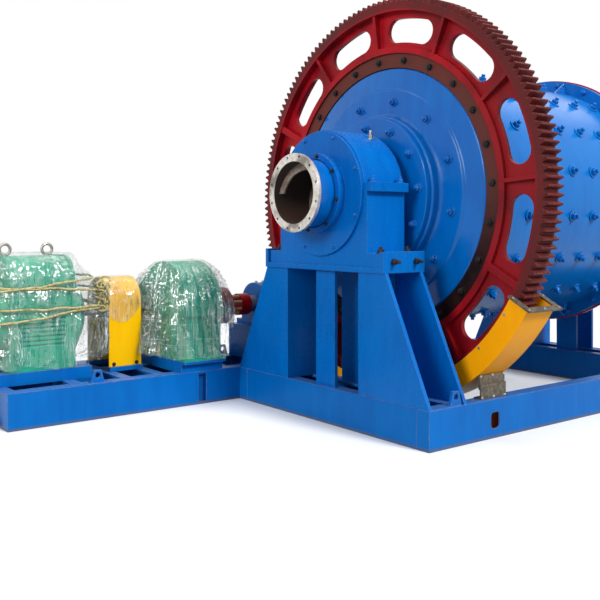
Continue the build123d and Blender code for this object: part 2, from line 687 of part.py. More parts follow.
def drive_rails():
    """Three long beams of the drive base."""
    near = cut_across(channel_face(*NEAR_BEAM, True), (DRIVE_BASE_LEFT, DRIVE_BASE_RIGHT))
    near += stiffened_bay() + lifting_lug(DRIVE_LUG_X[0], (NEAR_BEAM[0] + NEAR_BEAM[1]) / 2)
    near -= bay_opening()
    mid = cut_across(i_beam(*MID_BEAM), (DRIVE_BASE_LEFT, DRIVE_BASE_RIGHT))
    mid += lifting_lug(DRIVE_LUG_X[1], (MID_BEAM[0] + MID_BEAM[1]) / 2)
    far = cut_across(i_beam(*FAR_BEAM), (DRIVE_BASE_LEFT, FAR_BEAM_RIGHT))
    rails = []
    for beam, across in ((near, NEAR_BEAM), (mid, MID_BEAM), (far, FAR_BEAM)):
        rails.append(beam + block((DRIVE_BASE_LEFT, DRIVE_BASE_LEFT + BEAM_WEB), across, (0, BEAM_H)))
    return rails


def bay_limits():
    """X limits of the recessed bay under the middle of the reducer."""
    middle = (REDUCER_X0 + REDUCER_X1) / 2
    return (middle - BAY_WIDTH / 2, middle + BAY_WIDTH / 2)


def bay_opening():
    """Opening in the near beam's web, for the beam to lose."""
    face = (NEAR_BEAM[0], NEAR_BEAM[0] + BEAM_WEB)
    return block(bay_limits(), face, (BEAM_FLANGE_T, BEAM_H - BEAM_FLANGE_T))


def stiffened_bay():
    """Back plate and side stiffeners of the recessed bay."""
    x0, x1 = bay_limits()
    z = (BEAM_FLANGE_T, BEAM_H - BEAM_FLANGE_T)
    back = NEAR_BEAM[0] + BAY_DEPTH
    sides = (NEAR_BEAM[0] + BEAM_WEB, back)
    bay = block((x0 - BAY_GUSSET_T, x1 + BAY_GUSSET_T), (back, back + BEAM_WEB), z)
    return bay + block((x0 - BAY_GUSSET_T, x0), sides, z) + block((x1, x1 + BAY_GUSSET_T), sides, z)


def cross_beam_places():
    """Middles in X of the drive base's cross beams, and whether each reaches the far beam."""
    half = CROSS_BEAM_W / 2
    motor_reach = MOTOR_LENGTH / 2 + SHIELD_LENGTH
    stand_half = PINION_BEARING_LENGTH / 2
    return [(DRIVE_BASE_LEFT + half, True), (MOTOR_X + motor_reach / 2, True),
            (COUPLING_GUARD_X0, True), (COUPLING_GUARD_X1, True), (FAR_BEAM_RIGHT - half, True),
            (PINION_FRONT - PINION_BEARING_GAP - stand_half, False),
            (PINION_REAR + PINION_BEARING_GAP + stand_half, False),
            (DRIVE_BASE_RIGHT - half, False)]


def drive_cross_beams():
    """Short beams between the long ones."""
    beams = []
    for middle, to_far in cross_beam_places():
        face = i_beam(middle - CROSS_BEAM_W / 2, middle + CROSS_BEAM_W / 2)
        beams.append(cut_along(face, (NEAR_BEAM[1], MID_BEAM[0])))
        if to_far:
            beams.append(cut_along(face, (MID_BEAM[1], FAR_BEAM[0])))
    return beams


def motor_rails():
    """Two rails across the cross beams that carry the motor's feet."""
    reach = MOTOR_WIDTH / 2 - MOTOR_RAIL_W / 2
    right = MOTOR_X + MOTOR_LENGTH / 2 + SHIELD_LENGTH
    rails = []
    for middle in (MOTOR_Y - reach, MOTOR_Y + reach):
        across = (middle - MOTOR_RAIL_W / 2, middle + MOTOR_RAIL_W / 2)
        rails.append(block((DRIVE_BASE_LEFT, right), across, (BEAM_H, PLINTH_TOP)))
    return rails


def reducer_plinth():
    """Raised table under the reducer: a plate on two bearers, closed at the near end."""
    lip = REDUCER_FLANGE_LIP
    across = (PINION_Y - REDUCER_BIG_R, MOTOR_Y + REDUCER_SMALL_R + lip)
    bearers = (across[0] + PLINTH_OVERHANG, across[1])
    table = block((REDUCER_X0, REDUCER_X1), across, (PLINTH_TOP - PLINTH_PLATE, PLINTH_TOP))
    for x in (REDUCER_X0, REDUCER_X1 - BEAM_W / 2):
        table += block((x, x + BEAM_W / 2), bearers, (BEAM_H, PLINTH_TOP - PLINTH_PLATE))
    return table + block((REDUCER_X0, REDUCER_X1), (bearers[0], bearers[0] + PLINTH_PLATE),
                         (BEAM_H, PLINTH_TOP - PLINTH_PLATE))


# Motor

def motor_section(grow):
    """Section of the stator frame with rounded shoulders, made larger all round."""
    top = MOTOR_TOP - MOTOR_RIM_LIP + grow
    face = Pos(MOTOR_Y, (PLINTH_TOP + top) / 2) * Rectangle(
        MOTOR_WIDTH - 2 * MOTOR_RIM_LIP + 2 * grow, top - PLINTH_TOP)
    corners = face.vertices().filter_by_position(Axis.Y, top - 1, top + 1)
    return fillet(corners, MOTOR_SHOULDER_R)


def motor_frame():
    """Stator frame with a rim at each end and louvres on the near side."""
    half = MOTOR_WIDTH / 2 - MOTOR_RIM_LIP
    length = (MOTOR_X - MOTOR_LENGTH / 2, MOTOR_X + MOTOR_LENGTH / 2)
    frame = cut_across(motor_section(0), length)
    for start in (length[0], length[1] - MOTOR_RIM_T):
        frame += cut_across(motor_section(MOTOR_RIM_LIP), (start, start + MOTOR_RIM_T))
    window_top = PINION_Z
    for index in range(LOUVRE_COUNT):
        z = window_top - index * LOUVRE_PITCH
        slot = outline([(MOTOR_Y - half, z), (MOTOR_Y - half, z - LOUVRE_PITCH * 0.6),
                        (MOTOR_Y - half + LOUVRE_PITCH / 2, z)])
        frame -= cut_across(slot, (MOTOR_X - LOUVRE_W / 2, MOTOR_X + LOUVRE_W / 2))
    return frame


def motor_end(direction):
    """Domed end shield on one end of the motor."""
    start = MOTOR_X + direction * MOTOR_LENGTH / 2
    profile = [(start, 0), (start + direction * SHIELD_LENGTH, 0),
               (start + direction * SHIELD_LENGTH, SHIELD_NOSE_R),
               (start + direction * SHIELD_LENGTH * 0.4, SHIELD_R), (start, SHIELD_R)]
    return Pos(0, MOTOR_Y, PINION_Z) * turned(profile)


def motor_ends():
    """Both end shields."""
    return [motor_end(-1), motor_end(1)]


def eye_bolts():
    """Lifting eyes on top of the motor."""
    base = MOTOR_TOP - MOTOR_RIM_LIP
    eyes = []
    for side in (-1, 1):
        x = MOTOR_X + side * EYE_BOLT_SPACING / 2
        ring = Pos(x, MOTOR_Y, base + EYE_R + EYE_WIRE_R) * Rot(90, 0, 0) * Torus(EYE_R, EYE_WIRE_R)
        shank = Pos(x, MOTOR_Y, base + EYE_WIRE_R) * Cylinder(EYE_WIRE_R * 1.6, EYE_WIRE_R * 2)
        eyes.append(ring + shank)
    return eyes


# Reducer

def reducer_lower():
    """Lower half of the reducer's casing with its feet and joint flange."""
    lip = REDUCER_FLANGE_LIP
    across = (PINION_Y - REDUCER_BIG_R + lip, MOTOR_Y + REDUCER_SMALL_R)
    x0, x1 = REDUCER_X0 + lip, REDUCER_X1 - lip
    body = block((x0, x1), across, (PLINTH_TOP, PINION_Z))
    for z in (PLINTH_TOP, PINION_Z - REDUCER_FLANGE_T):
        body += block((REDUCER_X0, REDUCER_X1), (across[0] - lip, across[1] + lip),
                      (z, z + REDUCER_FLANGE_T))
    rib_z = (PLINTH_TOP + REDUCER_FLANGE_T, PINION_Z - REDUCER_FLANGE_T)
    step = (x1 - x0) / (REDUCER_RIBS + 1)
    for index in range(REDUCER_RIBS):
        x = x0 + (index + 1) * step
        body += block((x - REDUCER_RIB_T / 2, x + REDUCER_RIB_T / 2), (across[0] - lip, across[0]), rib_z)
    low = block((REDUCER_X0, REDUCER_X1), (PINION_Y - REDUCER_BIG_R, MOTOR_Y + REDUCER_BIG_R),
                (PLINTH_TOP, PINION_Z))
    return body + (shaft_bosses() & low)


def shaft_bosses():
    """Round bosses where the fast and the slow shaft enter the casing."""
    lip = REDUCER_FLANGE_LIP
    fast = rod(INPUT_BOSS_R, (REDUCER_X0, REDUCER_X0 + lip), MOTOR_Y, PINION_Z)
    slow = rod(OUTPUT_BOSS_R, (REDUCER_X1 - lip, REDUCER_X1), PINION_Y, PINION_Z)
    return fast + slow


def reducer_upper():
    """Upper half of the reducer's casing: a large and a small arch under one skin."""
    lip = REDUCER_FLANGE_LIP
    x0, x1 = REDUCER_X0 + lip, REDUCER_X1 - lip
    big = Pos(PINION_Y, PINION_Z) * Circle(REDUCER_BIG_R)
    small = Pos(MOTOR_Y, PINION_Z) * Circle(REDUCER_SMALL_R)
    lean = asin((REDUCER_BIG_R - REDUCER_SMALL_R) / REDUCER_CENTRES)
    big_touch = (PINION_Y + REDUCER_BIG_R * sin(lean), PINION_Z + REDUCER_BIG_R * cos(lean))
    small_touch = (MOTOR_Y + REDUCER_SMALL_R * sin(lean), PINION_Z + REDUCER_SMALL_R * cos(lean))
    bridge = outline([(PINION_Y, PINION_Z), big_touch, small_touch, (MOTOR_Y, PINION_Z)])
    below = Pos(PINION_Y, PINION_Z - REDUCER_BIG_R) * Rectangle(4 * REDUCER_BIG_R, 2 * REDUCER_BIG_R)
    body = cut_across(big + small + bridge - below, (x0, x1))
    across = (PINION_Y - REDUCER_BIG_R, MOTOR_Y + REDUCER_SMALL_R + lip)
    body += block((REDUCER_X0, REDUCER_X1), across, (PINION_Z, PINION_Z + REDUCER_FLANGE_T))
    high = block((REDUCER_X0, REDUCER_X1), (PINION_Y - REDUCER_BIG_R, MOTOR_Y + REDUCER_BIG_R),
                 (PINION_Z, PINION_Z + REDUCER_BIG_R))
    return body + (shaft_bosses() & high)


# Fast coupling and its guard

def fast_coupling():
    """Closed coupling with its two shaft stubs, between the motor and the reducer."""
    middle = (COUPLING_GUARD_X0 + COUPLING_GUARD_X1) / 2
    half = FAST_COUPLING_LENGTH / 2
    motor_nose = MOTOR_X + MOTOR_LENGTH / 2 + SHIELD_LENGTH
    shaft = rod(FAST_SHAFT_R, (motor_nose, REDUCER_X0), MOTOR_Y, PINION_Z)
    return shaft + rod(FAST_COUPLING_R, (middle - half, middle + half), MOTOR_Y, PINION_Z)


def arch_face(half, top, bottom):
    """Round-topped doorway outline round the fast shaft."""
    spring = top - half
    edges = [Polyline((MOTOR_Y - half, spring), (MOTOR_Y - half, bottom), (MOTOR_Y + half, bottom),
                      (MOTOR_Y + half, spring)),
             ThreePointArc((MOTOR_Y + half, spring), (MOTOR_Y, top), (MOTOR_Y - half, spring))]
    return make_face(edges)


def coupling_guard():
    """Bent sheet arch over the fast coupling, open at both ends."""
    bottom = BEAM_H + GUARD_RAIL_H
    sheet = COUPLING_GUARD_SHEET
    skin = arch_face(COUPLING_GUARD_HALF, COUPLING_GUARD_TOP, bottom)
    skin -= arch_face(COUPLING_GUARD_HALF - sheet, COUPLING_GUARD_TOP - sheet, bottom)
    return cut_across(skin, (COUPLING_GUARD_X0, COUPLING_GUARD_X1))


def guard_rails():
    """Bars across the cross beams that carry the coupling guard."""
    rails = []
    for middle in (MOTOR_Y - COUPLING_GUARD_HALF, MOTOR_Y + COUPLING_GUARD_HALF):
        across = (middle - GUARD_RAIL_W / 2, middle + GUARD_RAIL_W / 2)
        rails.append(block((COUPLING_GUARD_X0, COUPLING_GUARD_X1), across,
                           (BEAM_H, BEAM_H + GUARD_RAIL_H)))
    return rails


# Pinion bearings

def bearing_starts():
    """Low X limits of the two pinion bearings."""
    return (PINION_FRONT - PINION_BEARING_GAP - PINION_BEARING_LENGTH, PINION_REAR + PINION_BEARING_GAP)


def pinion_housing(start):
    """Pillow block with a round cap and a broad foot."""
    x = (start, start + PINION_BEARING_LENGTH)
    foot = (PINION_Y - PINION_BEARING_FOOT_HALF, PINION_Y + PINION_BEARING_FOOT_HALF)
    body = rod(PINION_BEARING_R, x, PINION_Y, PINION_Z)
    body += block(x, (PINION_Y - PINION_BEARING_R, PINION_Y + PINION_BEARING_R),
                  (PINION_STAND_TOP, PINION_Z))
    body += block(x, foot, (PINION_STAND_TOP, PINION_STAND_TOP + PINION_BEARING_FOOT_T))
    return body - rod(PINION_SHAFT_R + RUNNING_GAP, x, PINION_Y, PINION_Z)


def pinion_housings():
    """Both pinion bearing housings."""
    return [pinion_housing(start) for start in bearing_starts()]


def pinion_stand(x):
    """Welded box stand under one pinion bearing."""
    y = (PINION_Y - PINION_BEARING_FOOT_HALF, PINION_Y + PINION_BEARING_FOOT_HALF)
    return block(x, y, (BEAM_H, PINION_STAND_TOP))


def pinion_stands():
    """Stands under both pinion bearings, longer on the side away from the pinion."""
    front, rear = bearing_starts()
    length = PINION_BEARING_LENGTH
    return [pinion_stand((front - PINION_STAND_MARGIN, front + length + PINION_STAND_INNER)),
            pinion_stand((rear - PINION_STAND_INNER, rear + length + PINION_STAND_MARGIN))]


def nodes():
    """Every sub-part of the mill by name, as a list of solids."""
    half_gear = on_axis(gear_half())
    other_half = on_axis(Rot(180, 0, 0) * gear_half())
    beam = side_beam()
    parts = {
        "shell": [shell()],
        "discharge_cover": [end_cover()], "feed_cover": [at_feed(end_cover())],
        "discharge_trunnion": [trunnion()], "feed_trunnion": [at_feed(trunnion())],
        "discharge_sleeve": [sleeve()], "feed_sleeve": [at_feed(sleeve())],
        "gear_half_upper": [half_gear], "gear_half_lower": [other_half],
        "pinion": [pinion()], "pinion_shaft": [pinion_shaft()],
        "coupling_reducer_half": [coupling_reducer_half()],
        "coupling_pinion_half": [coupling_pinion_half()],
        "coupling_pins": coupling_pins(), "output_shaft": [output_shaft()],
        "drive_side_beam": [beam], "near_side_beam": [mirrored_y(beam)],
        "discharge_cross_beams": [cross_beams()], "feed_cross_beams": [at_feed(cross_beams())],
        "gear_guard_end": [guard_sweep(GUARD_TOP_ANGLE, GUARD_JOINT_ANGLE)],
        "gear_guard_trough": [guard_sweep(GUARD_JOINT_ANGLE, GUARD_END_ANGLE)],
        "gear_guard_flange": [guard_flange()], "gear_guard_feet": guard_feet(),
        "drive_rails": drive_rails(), "drive_cross_beams": drive_cross_beams(),
        "motor_rails": motor_rails(), "reducer_plinth": [reducer_plinth()],
        "motor_frame": [motor_frame()], "motor_ends": motor_ends(), "motor_eye_bolts": eye_bolts(),
        "reducer_lower_case": [reducer_lower()], "reducer_upper_case": [reducer_upper()],
        "fast_coupling": [fast_coupling()], "coupling_guard": [coupling_guard()],
        "coupling_guard_rails": guard_rails(),
        "pinion_housings": pinion_housings(), "pinion_stands": pinion_stands(),
    }
    supports = {"pedestal": pedestal(), "sole_plate": [sole_plate()], "bearing_body": [bearing_body()],
                "bearing_cap": [bearing_cap()], "bearing_covers": bearing_covers()}
    for name, pieces in supports.items():
        parts["discharge_" + name] = pieces
        parts["feed_" + name] = [at_feed(piece) for piece in pieces]
    return parts


os.makedirs("parts", exist_ok=True)
for node_name, pieces in nodes().items():
    solids = [solid for piece in pieces for solid in piece.solids()]
    export_step(solids[0] if len(solids) == 1 else Compound(solids), f"parts/{node_name}.step")
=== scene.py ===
"""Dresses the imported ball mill: paint, bare metal, fasteners, wrapping film, camera and light."""

import itertools
import logging
import math
import random
from dataclasses import dataclass, replace
from enum import Enum
from typing import Callable, Dict, Iterable, Iterator, List, Optional, Sequence, Tuple, Union

import bmesh
import bpy
from mathutils import Matrix, Vector, noise
from mathutils.bvhtree import BVHTree


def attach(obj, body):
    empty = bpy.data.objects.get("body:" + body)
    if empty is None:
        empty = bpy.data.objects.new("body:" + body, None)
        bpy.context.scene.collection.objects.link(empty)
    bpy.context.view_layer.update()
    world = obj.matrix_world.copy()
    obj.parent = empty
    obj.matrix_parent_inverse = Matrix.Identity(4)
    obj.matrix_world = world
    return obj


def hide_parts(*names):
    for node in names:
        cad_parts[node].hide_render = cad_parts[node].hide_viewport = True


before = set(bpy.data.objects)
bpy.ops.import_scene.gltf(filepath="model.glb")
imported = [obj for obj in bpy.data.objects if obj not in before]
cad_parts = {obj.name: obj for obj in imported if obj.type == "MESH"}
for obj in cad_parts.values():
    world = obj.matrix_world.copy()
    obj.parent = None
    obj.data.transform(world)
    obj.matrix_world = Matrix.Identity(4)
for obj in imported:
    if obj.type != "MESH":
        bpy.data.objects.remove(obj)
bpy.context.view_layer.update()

LOG = logging.getLogger("ball_mill")
Point = Tuple[float, float]
Corner = Tuple[float, float, float]
Colour = Tuple[float, float, float, float]
Place = Tuple[Vector, Vector]

AXIS_Z = 1.845
MIDDLE_X = 1.655
PINION_Y = 1.542887
PINION_Z = 0.824184
MOTOR_Y = 1.862887
BEAM_HEIGHT = 0.290
CAVITY_HALF_WIDTH = (0.0465, 0.0475)
CAVITY_HALF_HEIGHT = (0.1255, 0.1265)
CAVITY_HALF_LENGTH = (1.80, 1.81)
SLEEVE_BORE = (0.2465, 0.2495)
SMOOTH_ANGLE = math.radians(32.0)
LATHE_STEPS = 144
BEAD_STEP = 0.012
SIDES = (-1.0, 1.0)
WHITE = (1.0, 1.0, 1.0, 1.0)


class Body(Enum):
    """Rigid bodies of the mill that carry dressing."""

    FRAME = "frame"
    DRUM = "drum"


class Facing(Enum):
    """Ways in which a fastener can point."""

    DISCHARGE = (-1.0, 0.0, 0.0)
    FEED = (1.0, 0.0, 0.0)
    NEAR = (0.0, -1.0, 0.0)
    UP = (0.0, 0.0, 1.0)


class End(Enum):
    """Ends of the mill, which mirror each other."""

    DISCHARGE = "discharge"
    FEED = "feed"

    @property
    def facing(self) -> Facing:
        """Way out of the mill at this end."""
        return Facing[self.name]

    def at(self, x: float) -> float:
        """Place along X at this end, from its place at the discharge end."""
        return x if self is End.DISCHARGE else 2 * MIDDLE_X - x


def srgb(red: int, green: int, blue: int) -> Colour:
    """Turn screen colour values from 0 to 255 into a linear colour with alpha.

    Args:
        red: Red value.
        green: Green value.
        blue: Blue value.

    Returns:
        The linear colour.
    """
    linear = []
    for value in (red, green, blue):
        share = value / 255.0
        linear.append(share / 12.92 if share <= 0.04045 else ((share + 0.055) / 1.055) ** 2.4)
    return (linear[0], linear[1], linear[2], 1.0)


DUST = srgb(176, 168, 152)
GRIME = srgb(92, 92, 98)
# Rust inside the hollow beams, painted much lighter than rust so that the inner walls look lit.
CAVITY_RUST_AND_LIGHT = srgb(206, 124, 84)
RUBBED_EDGE = srgb(208, 146, 124)
BORE_SHADE = srgb(40, 30, 26)
GREEN_STRAW = srgb(112, 118, 62)


class Field:
    """A shader socket that takes part in Python arithmetic."""

    def __init__(self, graph: "Graph", socket: bpy.types.NodeSocket) -> None:
        """Wrap one output socket of a graph."""
        self.graph = graph
        self.socket = socket

    def __add__(self, other: "Operand") -> "Field":
        """Sum."""
        return self.graph.math("ADD", self, other)

    __radd__ = __add__

    def __sub__(self, other: "Operand") -> "Field":
        """Difference."""
        return self.graph.math("SUBTRACT", self, other)

    def __rsub__(self, other: "Operand") -> "Field":
        """Reflected difference, such as 1 - mask."""
        return self.graph.math("SUBTRACT", other, self)

    def __mul__(self, other: "Operand") -> "Field":
        """Product."""
        return self.graph.math("MULTIPLY", self, other)

    def __abs__(self) -> "Field":
        """Distance from zero."""
        return self.graph.math("ABSOLUTE", self)

    def sqrt(self) -> "Field":
        """Square root."""
        return self.graph.math("SQRT", self)

    def most(self, other: "Operand") -> "Field":
        """Larger of two values."""
        return self.graph.math("MAXIMUM", self, other)

    def ramp(self, low: float, high: float) -> "Field":
        """Rise smoothly from 0 at low to 1 at high.

        Args:
            low: Value where the rise begins.
            high: Value where it ends.

        Returns:
            The eased field.
        """
        made = self.graph.node("ShaderNodeMapRange", {"interpolation_type": "SMOOTHSTEP"},
                               {"Value": self, "From Min": low, "From Max": high})
        return Field(self.graph, made.outputs["Result"])


Operand = Union[Field, float]


class Graph:
    """Node tree of a material or a world, filled from Python expressions."""

    def __init__(self, owner: Union[bpy.types.Material, bpy.types.World]) -> None:
        """Empty the owner's node tree and start on it."""
        owner.use_nodes = True
        self.owner = owner
        self.tree = owner.node_tree
        self.tree.nodes.clear()
        coordinates = self.node("ShaderNodeTexCoord")
        self.place = Field(self, coordinates.outputs["Object"])
        self.facing = Field(self, coordinates.outputs["Normal"])

    @classmethod
    def of_material(cls, name: str) -> "Graph":
        """Graph of a new material."""
        return cls(bpy.data.materials.new(name))

    def node(self, kind: str, settings: Optional[Dict[str, object]] = None,
             inputs: Optional[Dict[Union[str, int], object]] = None) -> bpy.types.Node:
        """Add one node.

        Args:
            kind: Node type.
            settings: Attributes that are set first.
            inputs: Values or fields for its sockets.

        Returns:
            The new node.
        """
        made = self.tree.nodes.new(kind)
        for key, value in (settings or {}).items():
            setattr(made, key, value)
        for key, value in (inputs or {}).items():
            if isinstance(value, Field):
                self.tree.links.new(value.socket, made.inputs[key])
            else:
                made.inputs[key].default_value = value
        return made

    def math(self, operation: str, *operands: Operand) -> Field:
        """Add a Math node.

        Args:
            operation: Blender's name of the operation.
            operands: Fields or numbers.

        Returns:
            The result.
        """
        made = self.node("ShaderNodeMath", {"operation": operation}, dict(enumerate(operands)))
        return Field(self, made.outputs[0])

    def axes(self, vector: Field) -> Tuple[Field, Field, Field]:
        """Split a vector into its three parts."""
        made = self.node("ShaderNodeSeparateXYZ", inputs={0: vector})
        return tuple(Field(self, socket) for socket in made.outputs)

    def about_axis(self) -> Tuple[Field, Field, Field, Field]:
        """X, Y, height over the drum's axis, and distance from that axis."""
        x, y, z = self.axes(self.place)
        height = z - AXIS_Z
        return x, y, height, (y * y + height * height).sqrt()

    def stretched(self, scale: Sequence[float], turn: Sequence[float] = (0.0, 0.0, 0.0)) -> Field:
        """Object coordinates scaled and turned for a pattern with a grain."""
        made = self.node("ShaderNodeMapping", inputs={0: self.place, 2: turn, 3: scale})
        return Field(self, made.outputs[0])

    def noise(self, scale: float, detail: float, roughness: float = 0.55,
              vector: Optional[Field] = None) -> Field:
        """Cloudy value from 0 to 1.

        Args:
            scale: Cells to a metre.
            detail: Octaves.
            roughness: Weight of the small octaves.
            vector: Coordinates, object coordinates if left out.

        Returns:
            The noise field.
        """
        made = self.node("ShaderNodeTexNoise", inputs={
            "Vector": vector or self.place, "Scale": scale, "Detail": detail, "Roughness": roughness})
        return Field(self, made.outputs[0])

    def mix(self, share: Operand, first: object, second: object) -> Field:
        """Blend two colours.

        Args:
            share: Weight of the second colour.
            first: Colour or field.
            second: Colour or field.

        Returns:
            The blended colour.
        """
        made = self.node("ShaderNodeMix", {"data_type": "RGBA"}, {0: share, 6: first, 7: second})
        return Field(self, made.outputs[2])

    def soft_edges(self, radius: float) -> Tuple[Field, Field]:
        """Rounded normals along hard edges, and a mask of those edges.

        Args:
            radius: Edge radius in metres.

        Returns:
            The rounded normal and the edge mask.
        """
        rounded = Field(self, self.node("ShaderNodeBevel", {"samples": 4}, {"Radius": radius}).outputs[0])
        true = Field(self, self.node("ShaderNodeNewGeometry").outputs["Normal"])
        match = self.node("ShaderNodeVectorMath", {"operation": "DOT_PRODUCT"}, {0: rounded, 1: true})
        return rounded, 1.0 - Field(self, match.outputs["Value"])

    def bump(self, height: Field, distance: float, strength: float,
             normal: Optional[Field] = None) -> Field:
        """Turn a height into a normal.

        Args:
            height: Height field from 0 to 1.
            distance: Depth in metres.
            strength: Share of the effect.
            normal: Normal that is roughened.

        Returns:
            The bumped normal.
        """
        inputs = {"Height": height, "Distance": distance, "Strength": strength}
        if normal is not None:
            inputs["Normal"] = normal
        return Field(self, self.node("ShaderNodeBump", inputs=inputs).outputs[0])

    def looked_at(self) -> Field:
        """1 for what the camera sees, straight, mirrored or through film, and 0 for other light."""
        rays = self.node("ShaderNodeLightPath")
        seen = Field(self, rays.outputs["Is Camera Ray"]).most(Field(self, rays.outputs["Is Glossy Ray"]))
        return seen.most(Field(self, rays.outputs["Is Transmission Ray"]))

    def blend(self, share: Operand, first: bpy.types.Node, second: bpy.types.Node) -> bpy.types.Node:
        """Mix two shaders.

        Args:
            share: Weight of the second shader.
            first: Shader node.
            second: Shader node.

        Returns:
            The mixing node.
        """
        return self.node("ShaderNodeMixShader", inputs={
            0: share, 1: Field(self, first.outputs[0]), 2: Field(self, second.outputs[0])})

    def finish(self, **sockets: object) -> bpy.types.Material:
        """Close the material with one shader.

        Args:
            sockets: Shader inputs, with underscores for spaces.

        Returns:
            The finished material.
        """
        inputs = {key.replace("_", " "): value for key, value in sockets.items()}
        shader = self.node("ShaderNodeBsdfPrincipled", inputs=inputs)
        self.node("ShaderNodeOutputMaterial", inputs={"Surface": Field(self, shader.outputs[0])})
        return self.owner


@dataclass(frozen=True)
class Enamel:
    """Brushed and sprayed gloss paint with dust, runs and tinted edges: chips on most paints, and on the blue and
    yellow paints a light edge line that is a painted highlight.
    """

    name: str
    colour: Colour
    shade: Colour
    chip_and_highlight: Colour
    roughness: float = 0.22
    chipping_and_highlight: float = 0.55
    dust: float = 0.10
    edge: float = 0.006
    gloss: float = 0.12
    cavity: float = 0.0
    grime: float = 0.0

    def build(self) -> bpy.types.Material:
        """Make the paint's material.

        Returns:
            The material.
        """
        graph = Graph.of_material(self.name)
        clouds = graph.noise(1.1, 4.0)
        streaks = graph.noise(3.0, 4.0, 0.6, graph.stretched((4.0, 4.0, 0.5)))
        grain = graph.noise(42.0, 4.0, 0.65)
        rounded, edges = graph.soft_edges(self.edge)
        paint = graph.mix((clouds * 0.6 + streaks * 0.4).ramp(0.36, 0.66), self.colour, self.shade)
        level = graph.axes(graph.facing)[2]
        dusty = level.ramp(0.6, 1.0) * grain.ramp(0.35, 0.75) * self.dust
        paint = graph.mix(dusty, paint, DUST)
        if self.grime > 0.0:
            low = 1.0 - graph.axes(graph.place)[2].ramp(0.6 * self.grime, self.grime)
            paint = graph.mix(low * (0.4 + streaks * 0.6), paint, GRIME)
        # Edge tint: chipped wear on most paints; on the blue and yellow paints its light colour is a painted
        # highlight along the edges.
        edge_tint = edges.ramp(0.03, 0.22) * (0.35 + grain.ramp(0.50, 0.62) * 0.65) * self.chipping_and_highlight
        paint = graph.mix(edge_tint, paint, self.chip_and_highlight)
        if self.cavity > 0.0:
            # Painted light: the rust inside the hollow beams is lightened so that the walls look lit.
            paint = graph.mix(self._inside(graph), paint, CAVITY_RUST_AND_LIGHT)
        peel = graph.noise(140.0, 2.0) * 0.5 + graph.noise(9.0, 2.0) * 0.5
        return graph.finish(
            Base_Color=paint,
            Roughness=self.roughness + grain * 0.10 + dusty * 0.5 + edge_tint * 0.3,
            Specular_IOR_Level=self.gloss,
            Normal=graph.bump(peel, 0.0012, 0.35, rounded))

    def _inside(self, graph: Graph) -> Field:
        """Mask of the unpainted inside of the hollow side beams."""
        x, y, z = graph.axes(graph.place)
        across = 1.0 - abs(abs(y) - self.cavity).ramp(*CAVITY_HALF_WIDTH)
        upright = 1.0 - abs(z - BEAM_HEIGHT / 2).ramp(*CAVITY_HALF_HEIGHT)
        along = 1.0 - abs(x - MIDDLE_X).ramp(*CAVITY_HALF_LENGTH)
        return across * upright * along


@dataclass(frozen=True)
class GearPaint:
    """Red gear casting whose rim, teeth and mounting ring still carry brown primer."""

    name: str
    red: Colour
    deep: Colour
    primer: Colour
    ring: Colour
    grease_and_shade: Colour
    ring_edge: Point = (1.200, 1.212)
    rim_edge: Point = (1.545, 1.575)
    tooth_root: Point = (1.612, 1.622)
    shaded_side: Point = (0.5, 1.3)

    def build(self) -> bpy.types.Material:
        """Make the gear's material.

        Returns:
            The material.
        """
        graph = Graph.of_material(self.name)
        _, y, height, radius = graph.about_axis()
        clouds = graph.noise(2.2, 5.0, 0.6)
        grain = graph.noise(60.0, 4.0, 0.6)
        rounded, edges = graph.soft_edges(0.006)
        red = graph.mix(clouds.ramp(0.38, 0.66), self.red, self.deep)
        # Painted shade: the side of the gear towards -Y is dulled towards the primer's brown.
        red = graph.mix((0.0 - y).ramp(*self.shaded_side) * 0.45, red, self.primer)
        inner = 1.0 - radius.ramp(*self.ring_edge)
        bare = radius.ramp(*self.rim_edge).most(inner)
        paint = graph.mix(bare * (0.72 + clouds * 0.28), red, graph.mix(inner, self.primer, self.ring))
        teeth = radius.ramp(*self.tooth_root)
        soot = graph.noise(11.0, 5.0, 0.7).ramp(0.42, 0.68)
        paint = graph.mix(teeth * soot * 0.4, paint, self.grease_and_shade)
        # Darker towards the bottom of the mounting ring: painted shade together with grease.
        low_ring_shade_and_grease = (1.0 - height.ramp(-0.60, 0.20) * 0.7) * inner * (0.9 + soot * 0.1)
        paint = graph.mix(low_ring_shade_and_grease, paint, self.grease_and_shade)
        edge_tint = edges.ramp(0.03, 0.2) * grain.ramp(0.48, 0.62)
        paint = graph.mix(edge_tint * (0.04 + teeth * 0.68), paint, RUBBED_EDGE)
        return graph.finish(
            Base_Color=paint,
            Roughness=0.30 + bare * 0.16 + grain * 0.12,
            Specular_IOR_Level=0.14,
            Normal=graph.bump(grain * 0.4 + clouds * 0.6, 0.0016, 0.4, rounded))


